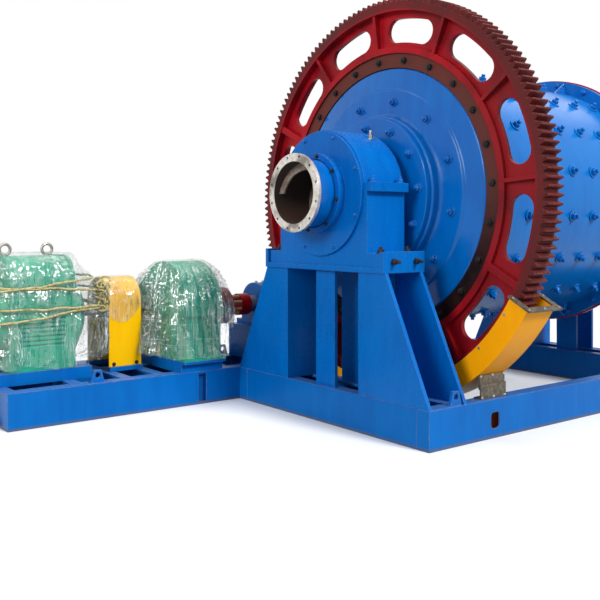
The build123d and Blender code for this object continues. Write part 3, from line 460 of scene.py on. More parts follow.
@dataclass(frozen=True)
class BareSteel:
    """Unpainted steel, from fresh turned faces to dark scale."""

    name: str
    bright: Colour
    dark: Colour
    stain: Colour
    roughness: float
    stained: float
    turned: bool = False
    metal: float = 1.0

    def build(self) -> bpy.types.Material:
        """Make the steel's material.

        Returns:
            The material.
        """
        graph = Graph.of_material(self.name)
        grain = graph.noise(30.0, 5.0, 0.65)
        blotch = graph.noise(6.0, 5.0, 0.6)
        if self.turned:
            x, _, height, radius = graph.about_axis()
            groove = graph.node("ShaderNodeTexNoise", {"noise_dimensions": "1D"},
                                {"W": radius * 900.0 + x * 900.0, "Scale": 1.0, "Detail": 2.0})
            grain = grain * 0.4 + Field(graph, groove.outputs[0]) * 0.6
        rounded, edges = graph.soft_edges(0.003)
        metal = graph.mix(grain.ramp(0.3, 0.7), self.dark, self.bright)
        rust_and_bore_shade = blotch.ramp(0.46, 0.66) * self.stained
        stain = self.stain
        if self.turned:
            # Painted shade: the bore is darkened to near black, with the rust stain kept towards its bottom.
            bore = 1.0 - radius.ramp(*SLEEVE_BORE)
            rust_and_bore_shade = rust_and_bore_shade.most(bore)
            stain = graph.mix(height.ramp(-0.20, -0.02) * bore, stain, BORE_SHADE)
        metal = graph.mix(rust_and_bore_shade, metal, stain)
        metal = graph.mix(edges.ramp(0.05, 0.3) * 0.4, metal, self.bright)
        return graph.finish(
            Base_Color=metal,
            Roughness=self.roughness + grain * 0.15 + rust_and_bore_shade * 0.4,
            Metallic=self.metal - rust_and_bore_shade * self.metal,
            Normal=graph.bump(grain, 0.0008, 0.35, rounded))


@dataclass(frozen=True)
class Creases:
    """One set of folds in the film."""

    scale: Corner
    turn: Corner
    width: float


FILM_CLEAR = (0.56, 0.61, 0.58, 1.0)
FILM_MILK_HIGHLIGHT = (0.92, 0.95, 0.93, 1.0)
FILM_SHADE = (0.06, 0.11, 0.09, 1.0)
MILKY_HIGHLIGHT_CREASES = (
    Creases((26.0, 26.0, 1.3), (0.16, 0.06, 0.3), 0.020), Creases((17.0, 17.0, 1.2), (0.55, 0.30, 0.2), 0.013),
    Creases((20.0, 20.0, 1.5), (-0.70, -0.35, 0.5), 0.014), Creases((2.6, 2.6, 20.0), (0.16, -0.12, 0.0), 0.014),
    Creases((44.0, 44.0, 10.0), (0.9, 0.2, 0.5), 0.030))
SHADED_CREASES = Creases((30.0, 30.0, 1.5), (0.32, 0.14, 0.7), 0.034)


@dataclass(frozen=True)
class Film:
    """Clear packing film that glints on its folds, with milky lines along its creases that are partly whitened
    film and partly painted highlight streaks.
    """

    name: str
    haze: float = 0.14
    folds: float = 0.62
    relief: float = 0.010

    def build(self) -> bpy.types.Material:
        """Make the film's material.

        Returns:
            The material.
        """
        graph = Graph.of_material(self.name)
        # Milky crease lines: partly whitened film, partly painted highlight streaks.
        lines, height = self._folds(graph, MILKY_HIGHLIGHT_CREASES[0])
        for creases in MILKY_HIGHLIGHT_CREASES[1:]:
            more, rise = self._folds(graph, creases)
            lines = lines.most(more)
            height = height + rise
        shade = self._folds(graph, SHADED_CREASES)[0] * (1.0 - lines)
        patches = graph.noise(5.0, 3.0).ramp(0.40, 0.70)
        return graph.finish(
            Base_Color=graph.mix(shade, graph.mix(lines, FILM_CLEAR, FILM_MILK_HIGHLIGHT), FILM_SHADE),
            Metallic=0.7 - lines * 0.7,
            Roughness=0.12,
            Alpha=self.haze + patches * 0.12 + lines * self.folds + shade * 0.30,
            Normal=graph.bump(height, self.relief, 0.9))

    @staticmethod
    def _folds(graph: Graph, creases: Creases) -> Tuple[Field, Field]:
        """Long thin folds that run one way, and come and go.

        Args:
            graph: Graph that gets the nodes.
            creases: Folds to a metre along each axis, their lean, and the share of a fold that shows.

        Returns:
            A field that is 1 on the creases, and the height of the folds.
        """
        fold = graph.noise(1.0, 0.3, 0.3, graph.stretched(creases.scale, creases.turn))
        away = abs(fold - 0.5)
        across = graph.stretched(creases.scale, [angle + 1.1 for angle in creases.turn])
        shown = graph.noise(0.3, 2.0, 0.5, across).ramp(0.47, 0.60)
        return (1.0 - away.ramp(0.0, creases.width)) * shown, away


@dataclass(frozen=True)
class Straw:
    """Rough twisted straw rope."""

    name: str
    pale: Colour
    dark: Colour

    def build(self) -> bpy.types.Material:
        """Make the rope's material.

        Returns:
            The material.
        """
        graph = Graph.of_material(self.name)
        fibre = graph.noise(70.0, 5.0, 0.7)
        clump = graph.noise(16.0, 3.0)
        colour = graph.mix(fibre.ramp(0.35, 0.65), self.dark, self.pale)
        colour = graph.mix(clump.ramp(0.5, 0.75) * 0.6, colour, GREEN_STRAW)
        return graph.finish(Base_Color=colour, Roughness=0.85, Normal=graph.bump(fibre, 0.004, 0.9))


# Blue paint: its light blue edge colour is a painted highlight along the edges.
BLUE = Enamel("blue_enamel", srgb(0, 106, 190), srgb(0, 92, 174), srgb(128, 176, 226), gloss=0.13)
BLUE_CAST = replace(BLUE, name="blue_cast_enamel", roughness=0.13, gloss=0.30)
BLUE_SHELL = Enamel("blue_shell_enamel", srgb(0, 112, 194), srgb(0, 100, 180), srgb(120, 130, 140),
                    roughness=0.20, chipping_and_highlight=0.15, dust=0.06, gloss=0.20)
BEAM_BLUE = Enamel("blue_beam_enamel", srgb(0, 105, 186), srgb(0, 93, 172), srgb(168, 146, 136),
                   roughness=0.28, chipping_and_highlight=0.9, dust=0.30, edge=0.010, grime=0.026)
HOLLOW_BEAM_BLUE = replace(BEAM_BLUE, name="blue_hollow_beam_enamel", cavity=1.100)
# Yellow guard paint: its pale yellow edge colour is a painted highlight along the edges.
YELLOW = Enamel("guard_yellow_enamel", srgb(255, 180, 8), srgb(255, 164, 4), srgb(255, 216, 130),
                roughness=0.3, chipping_and_highlight=0.75, gloss=0.08)
COUPLING_YELLOW = Enamel("coupling_guard_enamel", srgb(255, 196, 0), srgb(250, 186, 0), srgb(120, 96, 60),
                         roughness=0.3, chipping_and_highlight=0.25)
GREEN = Enamel("machine_green_enamel", srgb(48, 166, 132), srgb(34, 150, 118), srgb(110, 120, 110),
               roughness=0.3, chipping_and_highlight=0.3)
RED = Enamel("coupling_red_enamel", srgb(190, 18, 30), srgb(150, 12, 24), srgb(120, 90, 80),
             roughness=0.25, chipping_and_highlight=0.3)
PIN_NYLON = Enamel("pin_nylon", srgb(216, 198, 164), srgb(178, 152, 112), srgb(120, 100, 80),
                   roughness=0.45, chipping_and_highlight=0.2)
GEAR_RED = GearPaint("gear_paint", red=srgb(176, 14, 28), deep=srgb(124, 14, 24), primer=srgb(90, 35, 35),
                     ring=srgb(102, 60, 50), grease_and_shade=srgb(14, 8, 9))
TURNED = BareSteel("turned_steel", srgb(250, 246, 240), srgb(168, 158, 148), srgb(72, 47, 34),
                   roughness=0.34, stained=0.7, turned=True)
SHAFT_STEEL = BareSteel("shaft_steel", srgb(190, 186, 180), srgb(140, 136, 130), srgb(110, 80, 56),
                        roughness=0.3, stained=0.2)
SCALE_STEEL = BareSteel("scale_steel", srgb(116, 108, 94), srgb(74, 69, 60), srgb(104, 76, 54),
                        roughness=0.5, stained=0.6, metal=0.6)
BLACK_STEEL = BareSteel("black_oxide_steel", srgb(46, 44, 44), srgb(24, 23, 24), srgb(70, 46, 34),
                        roughness=0.42, stained=0.25, metal=0.5)
VANE_STEEL = BareSteel("vane_steel", srgb(164, 150, 138), srgb(104, 92, 84), srgb(110, 64, 40),
                       roughness=0.5, stained=0.5, metal=0.35)
PACKING_FILM = Film("packing_film")
HAZY_FILM = Film("hazy_film", haze=0.22, folds=0.14, relief=0.003)
STRAW = Straw("straw_rope", pale=srgb(216, 206, 152), dark=srgb(138, 120, 74))

Finish = Union[Enamel, GearPaint, BareSteel, Film, Straw]


class Workshop:
    """Keeps one material of each finish and turns meshes into pieces."""

    def __init__(self) -> None:
        """Start with no materials."""
        self._materials: Dict[str, bpy.types.Material] = {}

    def material(self, finish: Finish) -> bpy.types.Material:
        """Material of a finish, made the first time it is asked for.

        Args:
            finish: Any of the finish classes.

        Returns:
            The material.
        """
        key = repr(finish)
        if key not in self._materials:
            self._materials[key] = finish.build()
        return self._materials[key]

    def paint_node(self, finish: Finish, *names: str) -> None:
        """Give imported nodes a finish.

        Args:
            finish: Finish for all of them.
            names: Node names.
        """
        for name in names:
            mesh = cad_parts[name].data
            mesh.materials.clear()
            mesh.materials.append(self.material(finish))

    def publish(self, name: str, shape: bmesh.types.BMesh, body: Body, finish: Finish,
                replaces: Sequence[str] = (), smooth: float = SMOOTH_ANGLE) -> bpy.types.Object:
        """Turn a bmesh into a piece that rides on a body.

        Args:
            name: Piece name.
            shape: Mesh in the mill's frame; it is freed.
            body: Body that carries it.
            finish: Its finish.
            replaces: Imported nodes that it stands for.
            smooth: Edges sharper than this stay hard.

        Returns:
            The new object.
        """
        mesh = bpy.data.meshes.new(name)
        shape.to_mesh(mesh)
        shape.free()
        mesh.polygons.foreach_set("use_smooth", [True] * len(mesh.polygons))
        mesh.set_sharp_from_angle(angle=smooth)
        piece = bpy.data.objects.new(name, mesh)
        bpy.context.scene.collection.objects.link(piece)
        mesh.materials.append(self.material(finish))
        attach(piece, body.value)
        if replaces:
            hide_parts(*replaces)
        LOG.info("piece %s: %d faces on %s", name, len(mesh.polygons), body.value)
        return piece

    def bead(self, name: str, lines: Sequence[Sequence[Vector]], radius: float, finish: Finish,
             closed: bool = False) -> bpy.types.Object:
        """Lay uneven round cords, such as rope or weld, along lines on the frame.

        Args:
            name: Piece name.
            lines: Points of each line.
            radius: Half the thickness.
            finish: Its finish.
            closed: Whether each line is a loop.

        Returns:
            The new object.
        """
        curve = bpy.data.curves.new(name, "CURVE")
        curve.dimensions = "3D"
        curve.bevel_depth = radius
        curve.bevel_resolution = 2
        curve.use_fill_caps = not closed
        for line in lines:
            points = line if closed else list(self._divided(line))
            spline = curve.splines.new("POLY")
            spline.points.add(len(points) - 1)
            for point, place in zip(spline.points, points):
                point.co = (*place, 1.0)
                point.radius = 0.85 + 0.35 * noise.noise(place * 40.0)
            spline.use_cyclic_u = closed
            spline.use_smooth = True
        piece = bpy.data.objects.new(name, curve)
        bpy.context.scene.collection.objects.link(piece)
        curve.materials.append(self.material(finish))
        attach(piece, Body.FRAME.value)
        return piece

    @staticmethod
    def _divided(line: Sequence[Vector]) -> Iterator[Vector]:
        """Points along a line at even small steps."""
        for start, end in zip(line, line[1:]):
            count = max(1, round((end - start).length / BEAD_STEP))
            for index in range(count):
                yield start.lerp(end, index / count)
        yield line[-1]


def closed_line(shape: bmesh.types.BMesh, points: Iterable[Corner]) -> List[bmesh.types.BMVert]:
    """Add a closed line of edges to a mesh.

    Args:
        shape: Mesh that gets the line.
        points: Its corners.

    Returns:
        The corners' vertices.
    """
    corners = [shape.verts.new(point) for point in points]
    for first, second in zip(corners, corners[1:] + corners[:1]):
        shape.edges.new((first, second))
    return corners


def lathe(profile: Sequence[Corner]) -> bmesh.types.BMesh:
    """Turn a closed profile about the drum's axis, with each corner rounded by its own radius.

    Args:
        profile: Corners as (x, radius, rounding).

    Returns:
        The turned mesh.
    """
    shape = bmesh.new()
    corners = closed_line(shape, [(x, 0.0, AXIS_Z + radius) for x, radius, _ in profile])
    for rounding in sorted({corner[2] for corner in profile if corner[2] > 0.0}):
        chosen = [vert for vert, corner in zip(corners, profile) if corner[2] == rounding]
        bmesh.ops.bevel(shape, geom=chosen, offset=rounding, offset_type="OFFSET", segments=4,
                        profile=0.5, affect="VERTICES", material=-1)
    bmesh.ops.spin(shape, geom=shape.verts[:] + shape.edges[:], cent=(0.0, 0.0, AXIS_Z), axis=(1.0, 0.0, 0.0),
                   angle=math.tau, steps=LATHE_STEPS, use_merge=True)
    bmesh.ops.recalc_face_normals(shape, faces=shape.faces[:])
    return shape


@dataclass(frozen=True)
class Fastener:
    """Hexagon nut or bolt head on a washer, with the end of the bolt showing."""

    across: float
    height: float
    washer_radius: float
    washer: float
    stud_radius: float
    stud: float
    washer_sides: int = 20
    stud_sides: int = 12
    head_bevel: float = 0.12
    stud_bevel: float = 0.2

    def template(self) -> bpy.types.Mesh:
        """Mesh of one fastener, standing on the origin along Z.

        Returns:
            The mesh.
        """
        shape = bmesh.new()
        self._disc(shape, self.washer_sides, self.washer_radius, 0.0, self.washer, self.head_bevel)
        self._disc(shape, 6, self.across / math.sqrt(3.0), self.washer, self.height, self.head_bevel)
        if self.stud > 0.0:
            self._disc(shape, self.stud_sides, self.stud_radius, self.washer + self.height, self.stud,
                       self.stud_bevel)
        mesh = bpy.data.meshes.new("fastener_template")
        shape.to_mesh(mesh)
        shape.free()
        return mesh

    @staticmethod
    def _disc(shape: bmesh.types.BMesh, sides: int, radius: float, low: float, height: float,
              share: float) -> None:
        """Add one prism with a bevelled top edge."""
        made = bmesh.ops.create_cone(
            shape, cap_ends=True, segments=sides, radius1=radius, radius2=radius, depth=height,
            matrix=Matrix.Translation((0.0, 0.0, low + height / 2)))
        top = {edge for vert in made["verts"] for edge in vert.link_edges
               if all(end.co.z > low + height * 0.9 for end in edge.verts)}
        bmesh.ops.bevel(shape, geom=list(top), offset=min(radius, height) * share, segments=1,
                        profile=0.5, affect="EDGES", material=-1)

    def stamped(self, places: Iterable[Place], seed: int) -> bmesh.types.BMesh:
        """Copies of the fastener at many places.

        Args:
            places: Foot and direction of each.
            seed: Start of the random turns.

        Returns:
            One mesh with all copies.
        """
        pattern = self.template()
        turns = random.Random(seed)
        shape = bmesh.new()
        for foot, way in places:
            start = len(shape.verts)
            shape.from_mesh(pattern)
            shape.verts.ensure_lookup_table()
            turn = Matrix.Rotation(turns.uniform(0.0, math.tau), 4, "Z")
            stand = Matrix.Translation(foot) @ way.to_track_quat("Z", "Y").to_matrix().to_4x4() @ turn
            bmesh.ops.transform(shape, matrix=stand, verts=shape.verts[start:])
        bpy.data.meshes.remove(pattern)
        return shape


def ring_places(count: int, radius: float, x: float, first: float, facing: Facing) -> Iterator[Place]:
    """Places on a circle about the drum's axis.

    Args:
        count: Number of places.
        radius: Circle radius.
        x: Plane of the circle.
        first: Angle of the first place in degrees, from +Y towards +Z.
        facing: Direction of the fasteners.

    Yields:
        Foot and direction of each place.
    """
    for index in range(count):
        angle = math.radians(first + index * 360.0 / count)
        foot = Vector((x, radius * math.cos(angle), AXIS_Z + radius * math.sin(angle)))
        yield foot, Vector(facing.value)


# Width across flats, height, washer's radius and thickness, stud's radius and length
FLANGE_NUT = Fastener(0.046, 0.024, 0.028, 0.004, 0.014, 0.012)
LINER_BOLT = Fastener(0.056, 0.028, 0.050, 0.010, 0.017, 0.026)
COVER_BOLT = Fastener(0.050, 0.028, 0.040, 0.008, 0.016, 0.020)
MEDIUM_BOLT = Fastener(0.036, 0.018, 0.026, 0.005, 0.010, 0.006)
SMALL_BOLT = Fastener(0.024, 0.012, 0.018, 0.003, 0.007, 0.004)
FOOT_BOLT = Fastener(0.046, 0.024, 0.036, 0.006, 0.014, 0.022)
JACK_SCREW = Fastener(0.042, 0.026, 0.022, 0.004, 0.013, 0.045)
VENT = Fastener(0.034, 0.020, 0.022, 0.012, 0.011, 0.045)
RIVET = Fastener(0.014, 0.004, 0.011, 0.003, 0.004, 0.0)


@dataclass
class Drum:
    """Turned pieces of the drum and all the bolts on it."""

    shop: Workshop
    shell_rows: int = 18
    shell_first: float = 9.45
    shell_start: float = 0.766
    shell_step: float = 0.294
    shell_ring: int = 7
    shell_radius: float = 1.078
    shell_sink: float = 0.001
    cover_bolts: int = 12
    cover_circle: float = 0.795
    cover_face: float = 0.470
    cover_first: float = 101.0
    trunnion_circle: float = 0.565
    trunnion_face: float = 0.330
    trunnion_first: float = 86.0
    flange_bolts: int = 24
    flange_circle: float = 1.145
    flange_first: float = 12.0
    flange_front: float = 0.560
    flange_back: float = 0.600
    shell_flange: float = 0.050
    gear_ring_face: float = 0.510
    band: Tuple[Point, ...] = ((0.564, 1.186), (0.564, 1.200), (0.596, 1.200), (0.596, 1.186))
    cover: Tuple[Corner, ...] = (
        (0.380, 0.262, 0.0), (0.380, 0.670, 0.016), (0.470, 0.670, 0.034), (0.470, 0.893, 0.010),
        (0.486, 0.906, 0.010), (0.512, 1.080, 0.016), (0.560, 1.080, 0.0), (0.560, 1.190, 0.004),
        (0.600, 1.190, 0.004), (0.600, 1.050, 0.0), (0.540, 0.900, 0.0), (0.540, 0.670, 0.0),
        (0.470, 0.600, 0.0), (0.470, 0.262, 0.0))
    trunnion: Tuple[Corner, ...] = (
        (-0.460, 0.262, 0.0), (0.380, 0.262, 0.0), (0.380, 0.650, 0.003), (0.330, 0.650, 0.008),
        (0.330, 0.400, 0.040), (0.231, 0.300, 0.0), (-0.194, 0.300, 0.0), (-0.194, 0.270, 0.0),
        (-0.460, 0.270, 0.004))
    casting_smooth: float = math.radians(22.0)
    vane_start: float = -0.435
    vane_turns: float = 2.5
    vane_length: float = 0.80
    vane_steps: int = 120
    vane_outer: float = 0.247
    vane_inner: float = 0.186
    vane_thickness: float = 0.016

    def build_bolts(self) -> None:
        """Add the rows of bolts on the shell, the covers and the flanges, and the feed flange's red band."""
        publish = self.shop.publish
        publish("shell_liner_bolts", LINER_BOLT.stamped(self._shell_places(), 3), Body.DRUM, BLUE_SHELL)
        for end, seed in ((End.DISCHARGE, 5), (End.FEED, 6)):
            places: List[Place] = []
            for circle, face, first in ((self.cover_circle, self.cover_face, self.cover_first),
                                        (self.trunnion_circle, self.trunnion_face, self.trunnion_first)):
                places += ring_places(self.cover_bolts, circle, end.at(face), first, end.facing)
            publish(f"{end.value}_cover_bolts", COVER_BOLT.stamped(places, seed), Body.DRUM, BLUE_CAST)
        dark = self._flange_places(self.gear_ring_face, Facing.DISCHARGE)
        publish("gear_ring_bolts", FLANGE_NUT.stamped(dark, 7), Body.DRUM, BLACK_STEEL)
        inner = self.flange_back + self.shell_flange
        painted = [*self._flange_places(End.FEED.at(inner), Facing.DISCHARGE),
                   *self._flange_places(inner, Facing.FEED),
                   *self._flange_places(End.FEED.at(self.flange_front), Facing.FEED)]
        publish("shell_flange_bolts", FLANGE_NUT.stamped(painted, 8), Body.DRUM, BLUE)
        band = [(End.FEED.at(x), radius, 0.0) for x, radius in self.band]
        publish("feed_flange_band", lathe(band), Body.DRUM, RED)

    def _flange_places(self, x: float, facing: Facing) -> Iterator[Place]:
        """Nuts round a flange whose face is at X."""
        return ring_places(self.flange_bolts, self.flange_circle, x, self.flange_first, facing)

    def build_castings(self) -> None:
        """Replace the covers and trunnions by castings with rounded corners."""
        for name, profile in (("cover", self.cover), ("trunnion", self.trunnion)):
            for end in End:
                casting = lathe([(end.at(x), radius, rounding) for x, radius, rounding in profile])
                self.shop.publish(f"{end.value}_{name}_casting", casting, Body.DRUM, BLUE_CAST,
                                  (f"{end.value}_{name}",), self.casting_smooth)

    def build_vanes(self) -> None:
        """Wind a conveying vane round the inside of each sleeve."""
        for end, step in ((End.DISCHARGE, 1.0), (End.FEED, -1.0)):
            shape = bmesh.new()
            front = end.at(self.vane_start)
            back = front + step * self.vane_thickness
            closed_line(shape, [(front, self.vane_outer, AXIS_Z), (front, self.vane_inner, AXIS_Z),
                                (back, self.vane_inner, AXIS_Z), (back, self.vane_outer, AXIS_Z)])
            bmesh.ops.spin(shape, geom=shape.verts[:] + shape.edges[:], cent=(0.0, 0.0, AXIS_Z),
                           axis=(1.0, 0.0, 0.0), dvec=(step * self.vane_length / self.vane_steps, 0.0, 0.0),
                           angle=math.tau * self.vane_turns, steps=self.vane_steps)
            bmesh.ops.holes_fill(shape, edges=shape.edges[:], sides=4)
            bmesh.ops.recalc_face_normals(shape, faces=shape.faces[:])
            self.shop.publish(f"{end.value}_vane", shape, Body.DRUM, VANE_STEEL)

    def _shell_places(self) -> Iterator[Place]:
        """Feet of the liner bolts, row by row."""
        for row in range(self.shell_rows):
            angle = math.radians(self.shell_first + row * 360.0 / self.shell_rows)
            outward = Vector((0.0, math.cos(angle), math.sin(angle)))
            for column in range(self.shell_ring):
                x = self.shell_start + column * self.shell_step
                yield Vector((x, 0.0, AXIS_Z)) + outward * (self.shell_radius - self.shell_sink), outward

    def dress(self) -> None:
        """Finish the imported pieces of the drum."""
        self.shop.paint_node(BLUE_SHELL, "shell")
        self.shop.paint_node(TURNED, "discharge_sleeve", "feed_sleeve")
        self.shop.paint_node(GEAR_RED, "gear_half_upper", "gear_half_lower")


@dataclass
class Frame:
    """Base beams, pedestals, bearings and the gear guard."""

    shop: Workshop
    ring_bolts: int = 8
    disc_ring: Corner = (0.468, -0.225, 22.5)
    gland_ring: Corner = (0.298, -0.290, 11.0)
    cap_radius: float = 0.51
    vent_place: Point = (0.10, -0.26)
    vent_sink: float = 0.008
    foot_x: float = 0.14
    foot_place: Point = (0.622, 1.375)
    cap_place: Point = (0.546, 1.915)
    jack_x: float = 0.119
    jack_place: Point = (0.730, 1.315)
    tack_columns: Corner = (0.414, 0.545, 0.676)
    tack_rows: Tuple[Point, ...] = ((-1.110, 0.461), (-1.122, 0.300))
    rivets: int = 8
    rivet_circle: float = 1.612
    rivet_first: float = -146.0
    rivet_step: float = 12.5
    guard_front: float = 0.390
    guard_top: float = -151.0
    guard_flange: float = 0.014
    flange_bolts: Tuple[Point, ...] = (
        (0.370, 1.625), (0.370, 1.780), (0.545, 1.780), (0.720, 1.780), (0.720, 1.625))
    weld_radius: float = 0.005
    pedestal_face: float = 0.202
    pedestal_foot: float = 1.04
    pedestal_head: Point = (0.725, 1.230)
    drive_weld_rows: Point = (1.162, 1.282)
    drive_weld_ends: Point = (-2.36, 1.15)

    def dress(self) -> None:
        """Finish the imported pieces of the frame."""
        paint = self.shop.paint_node
        paint(HOLLOW_BEAM_BLUE, "drive_side_beam", "near_side_beam")
        paint(BEAM_BLUE, "discharge_cross_beams", "feed_cross_beams", "drive_rails", "drive_cross_beams",
              "motor_rails", "reducer_plinth", "coupling_guard_rails")
        for end in End:
            paint(BLUE, *(f"{end.value}_{name}" for name in (
                "pedestal", "sole_plate", "bearing_body", "bearing_cap", "bearing_covers")))
        paint(BLUE, "pinion_housings", "pinion_stands")
        paint(YELLOW, "gear_guard_end", "gear_guard_trough")
        paint(SCALE_STEEL, "gear_guard_flange", "gear_guard_feet")

    def build_bolts(self) -> None:
        """Add the bolts of the main bearings and the gear guard."""
        up = Vector(Facing.UP.value)
        rise = math.sqrt(self.cap_radius ** 2 - self.vent_place[1] ** 2) - self.vent_sink
        discs: List[Place] = []
        glands: List[Place] = []
        caps: List[Place] = []
        feet: List[Place] = []
        jacks: List[Place] = []
        vents: List[Place] = []
        for end in End:
            for places, (circle, face, first) in ((discs, self.disc_ring), (glands, self.gland_ring)):
                places += ring_places(self.ring_bolts, circle, end.at(face), first, end.facing)
            vents.append((Vector((end.at(self.vent_place[0]), self.vent_place[1], AXIS_Z + rise)), up))
            for side, way in itertools.product(SIDES, repeat=2):
                for places, x, (y, z), facing in (
                        (feet, self.foot_x, self.foot_place, up), (caps, self.foot_x, self.cap_place, up),
                        (jacks, self.jack_x, self.jack_place, Vector((0.0, side, 0.0)))):
                    places.append((Vector((end.at(way * x), side * y, z)), facing))
        tacks = [(Vector((x, y, z)), Vector(Facing.NEAR.value))
                 for y, z in self.tack_rows for x in self.tack_columns]
        for name, bolt, places, seed, finish in (
                ("bearing_disc_bolts", SMALL_BOLT, discs, 11, BLUE),
                ("bearing_cap_bolts", FOOT_BOLT, caps, 13, BLUE),
                ("gland_bolts", SMALL_BOLT, glands, 14, BLACK_STEEL),
                ("bearing_foot_bolts", FOOT_BOLT, feet, 14, BLACK_STEEL),
                ("adjusting_screws", JACK_SCREW, jacks, 14, BLACK_STEEL),
                ("cap_vents", VENT, vents, 15, SHAFT_STEEL),
                ("guard_rivets", RIVET, self._guard_places(), 15, SHAFT_STEEL),
                ("guard_foot_bolts", RIVET, tacks, 15, SHAFT_STEEL)):
            self.shop.publish(name, bolt.stamped(places, seed), Body.FRAME, finish)

    def _guard_places(self) -> Iterator[Place]:
        """Rivets along the inner edge of the gear guard's front plate and bolts on its top flange."""
        for index in range(self.rivets):
            angle = math.radians(self.rivet_first + index * self.rivet_step)
            y, z = self.rivet_circle * math.cos(angle), AXIS_Z + self.rivet_circle * math.sin(angle)
            yield Vector((self.guard_front, y, z)), Vector(Facing.DISCHARGE.value)
        lean = Matrix.Translation((0.0, 0.0, AXIS_Z)) @ Matrix.Rotation(math.radians(self.guard_top), 4, "X")
        outward = lean.to_3x3() @ Vector((0.0, 0.0, -1.0))
        for x, radius in self.flange_bolts:
            yield lean @ Vector((x, radius, -self.guard_flange)), outward

    def build_welds(self) -> None:
        """Run weld beads along the joints of the pedestals and the bases."""
        lines: List[List[Vector]] = []
        head_y, head_z = self.pedestal_head
        for end in End:
            for x in (end.at(-self.pedestal_face), end.at(self.pedestal_face)):
                for half, z in ((self.pedestal_foot, BEAM_HEIGHT), (head_y, head_z)):
                    lines.append([Vector((x, y, z)) for y in (-half, half)])
        for y in self.drive_weld_rows:
            lines.append([Vector((x, y, BEAM_HEIGHT)) for x in self.drive_weld_ends])
        self.shop.bead("frame_welds", lines, self.weld_radius, BEAM_BLUE)


@dataclass
class Drive:
    """Motor, reducer, couplings and pinion."""

    shop: Workshop
    bearing_columns: Point = (0.30, 0.79)
    bearing_foot: Point = (0.252, 0.655)
    bearing_top: float = 0.204
    cap_bolt: float = 0.04
    case_ends: Point = (-0.803, -0.407)
    case_rows: Corner = (1.16, 1.86, 2.05)
    case_columns: Corner = (-0.72, -0.605, -0.49)
    case_front: float = 1.120
    case_foot: float = 0.428
    case_joint: float = 0.858
    guard_columns: Point = (-1.239, -1.015)
    guard_foot: Point = (0.230, 0.352)

    def dress(self) -> None:
        """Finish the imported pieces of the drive."""
        paint = self.shop.paint_node
        paint(GREEN, "motor_frame", "motor_ends", "reducer_lower_case", "reducer_upper_case")
        paint(SHAFT_STEEL, "motor_eye_bolts", "fast_coupling", "pinion_shaft", "output_shaft", "pinion")
        paint(RED, "coupling_reducer_half", "coupling_pinion_half")
        paint(PIN_NYLON, "coupling_pins")
        paint(COUPLING_YELLOW, "coupling_guard")

    def build_bolts(self) -> None:
        """Bolt down the pinion bearings, the reducer and the coupling guard."""
        up = Vector(Facing.UP.value)
        out, low = self.bearing_foot
        feet = [(Vector((x, PINION_Y + side * out, low)), up) for x in self.bearing_columns for side in SIDES]
        caps = [(Vector((x + side * self.cap_bolt, PINION_Y, PINION_Z + self.bearing_top)), up)
                for x in self.bearing_columns for side in SIDES]
        case = [(Vector((x, y, self.case_joint)), up) for x in self.case_ends for y in self.case_rows]
        case += [(Vector((x, self.case_front, z)), up)
                 for x in self.case_columns for z in (self.case_foot, self.case_joint)]
        out, low = self.guard_foot
        tabs = [(Vector((x, MOTOR_Y + side * out, low)), Vector((0.0, side, 0.0)))
                for x in self.guard_columns for side in SIDES]
        for name, bolt, places, seed, finish in (
                ("pinion_bearing_bolts", FOOT_BOLT, feet, 21, BLUE),
                ("pinion_cap_bolts", SMALL_BOLT, caps, 22, SHAFT_STEEL),
                ("reducer_bolts", MEDIUM_BOLT, case, 23, GREEN),
                ("coupling_guard_bolts", SMALL_BOLT, tabs, 24, BLACK_STEEL)):
            self.shop.publish(name, bolt.stamped(places, seed), Body.FRAME, finish)


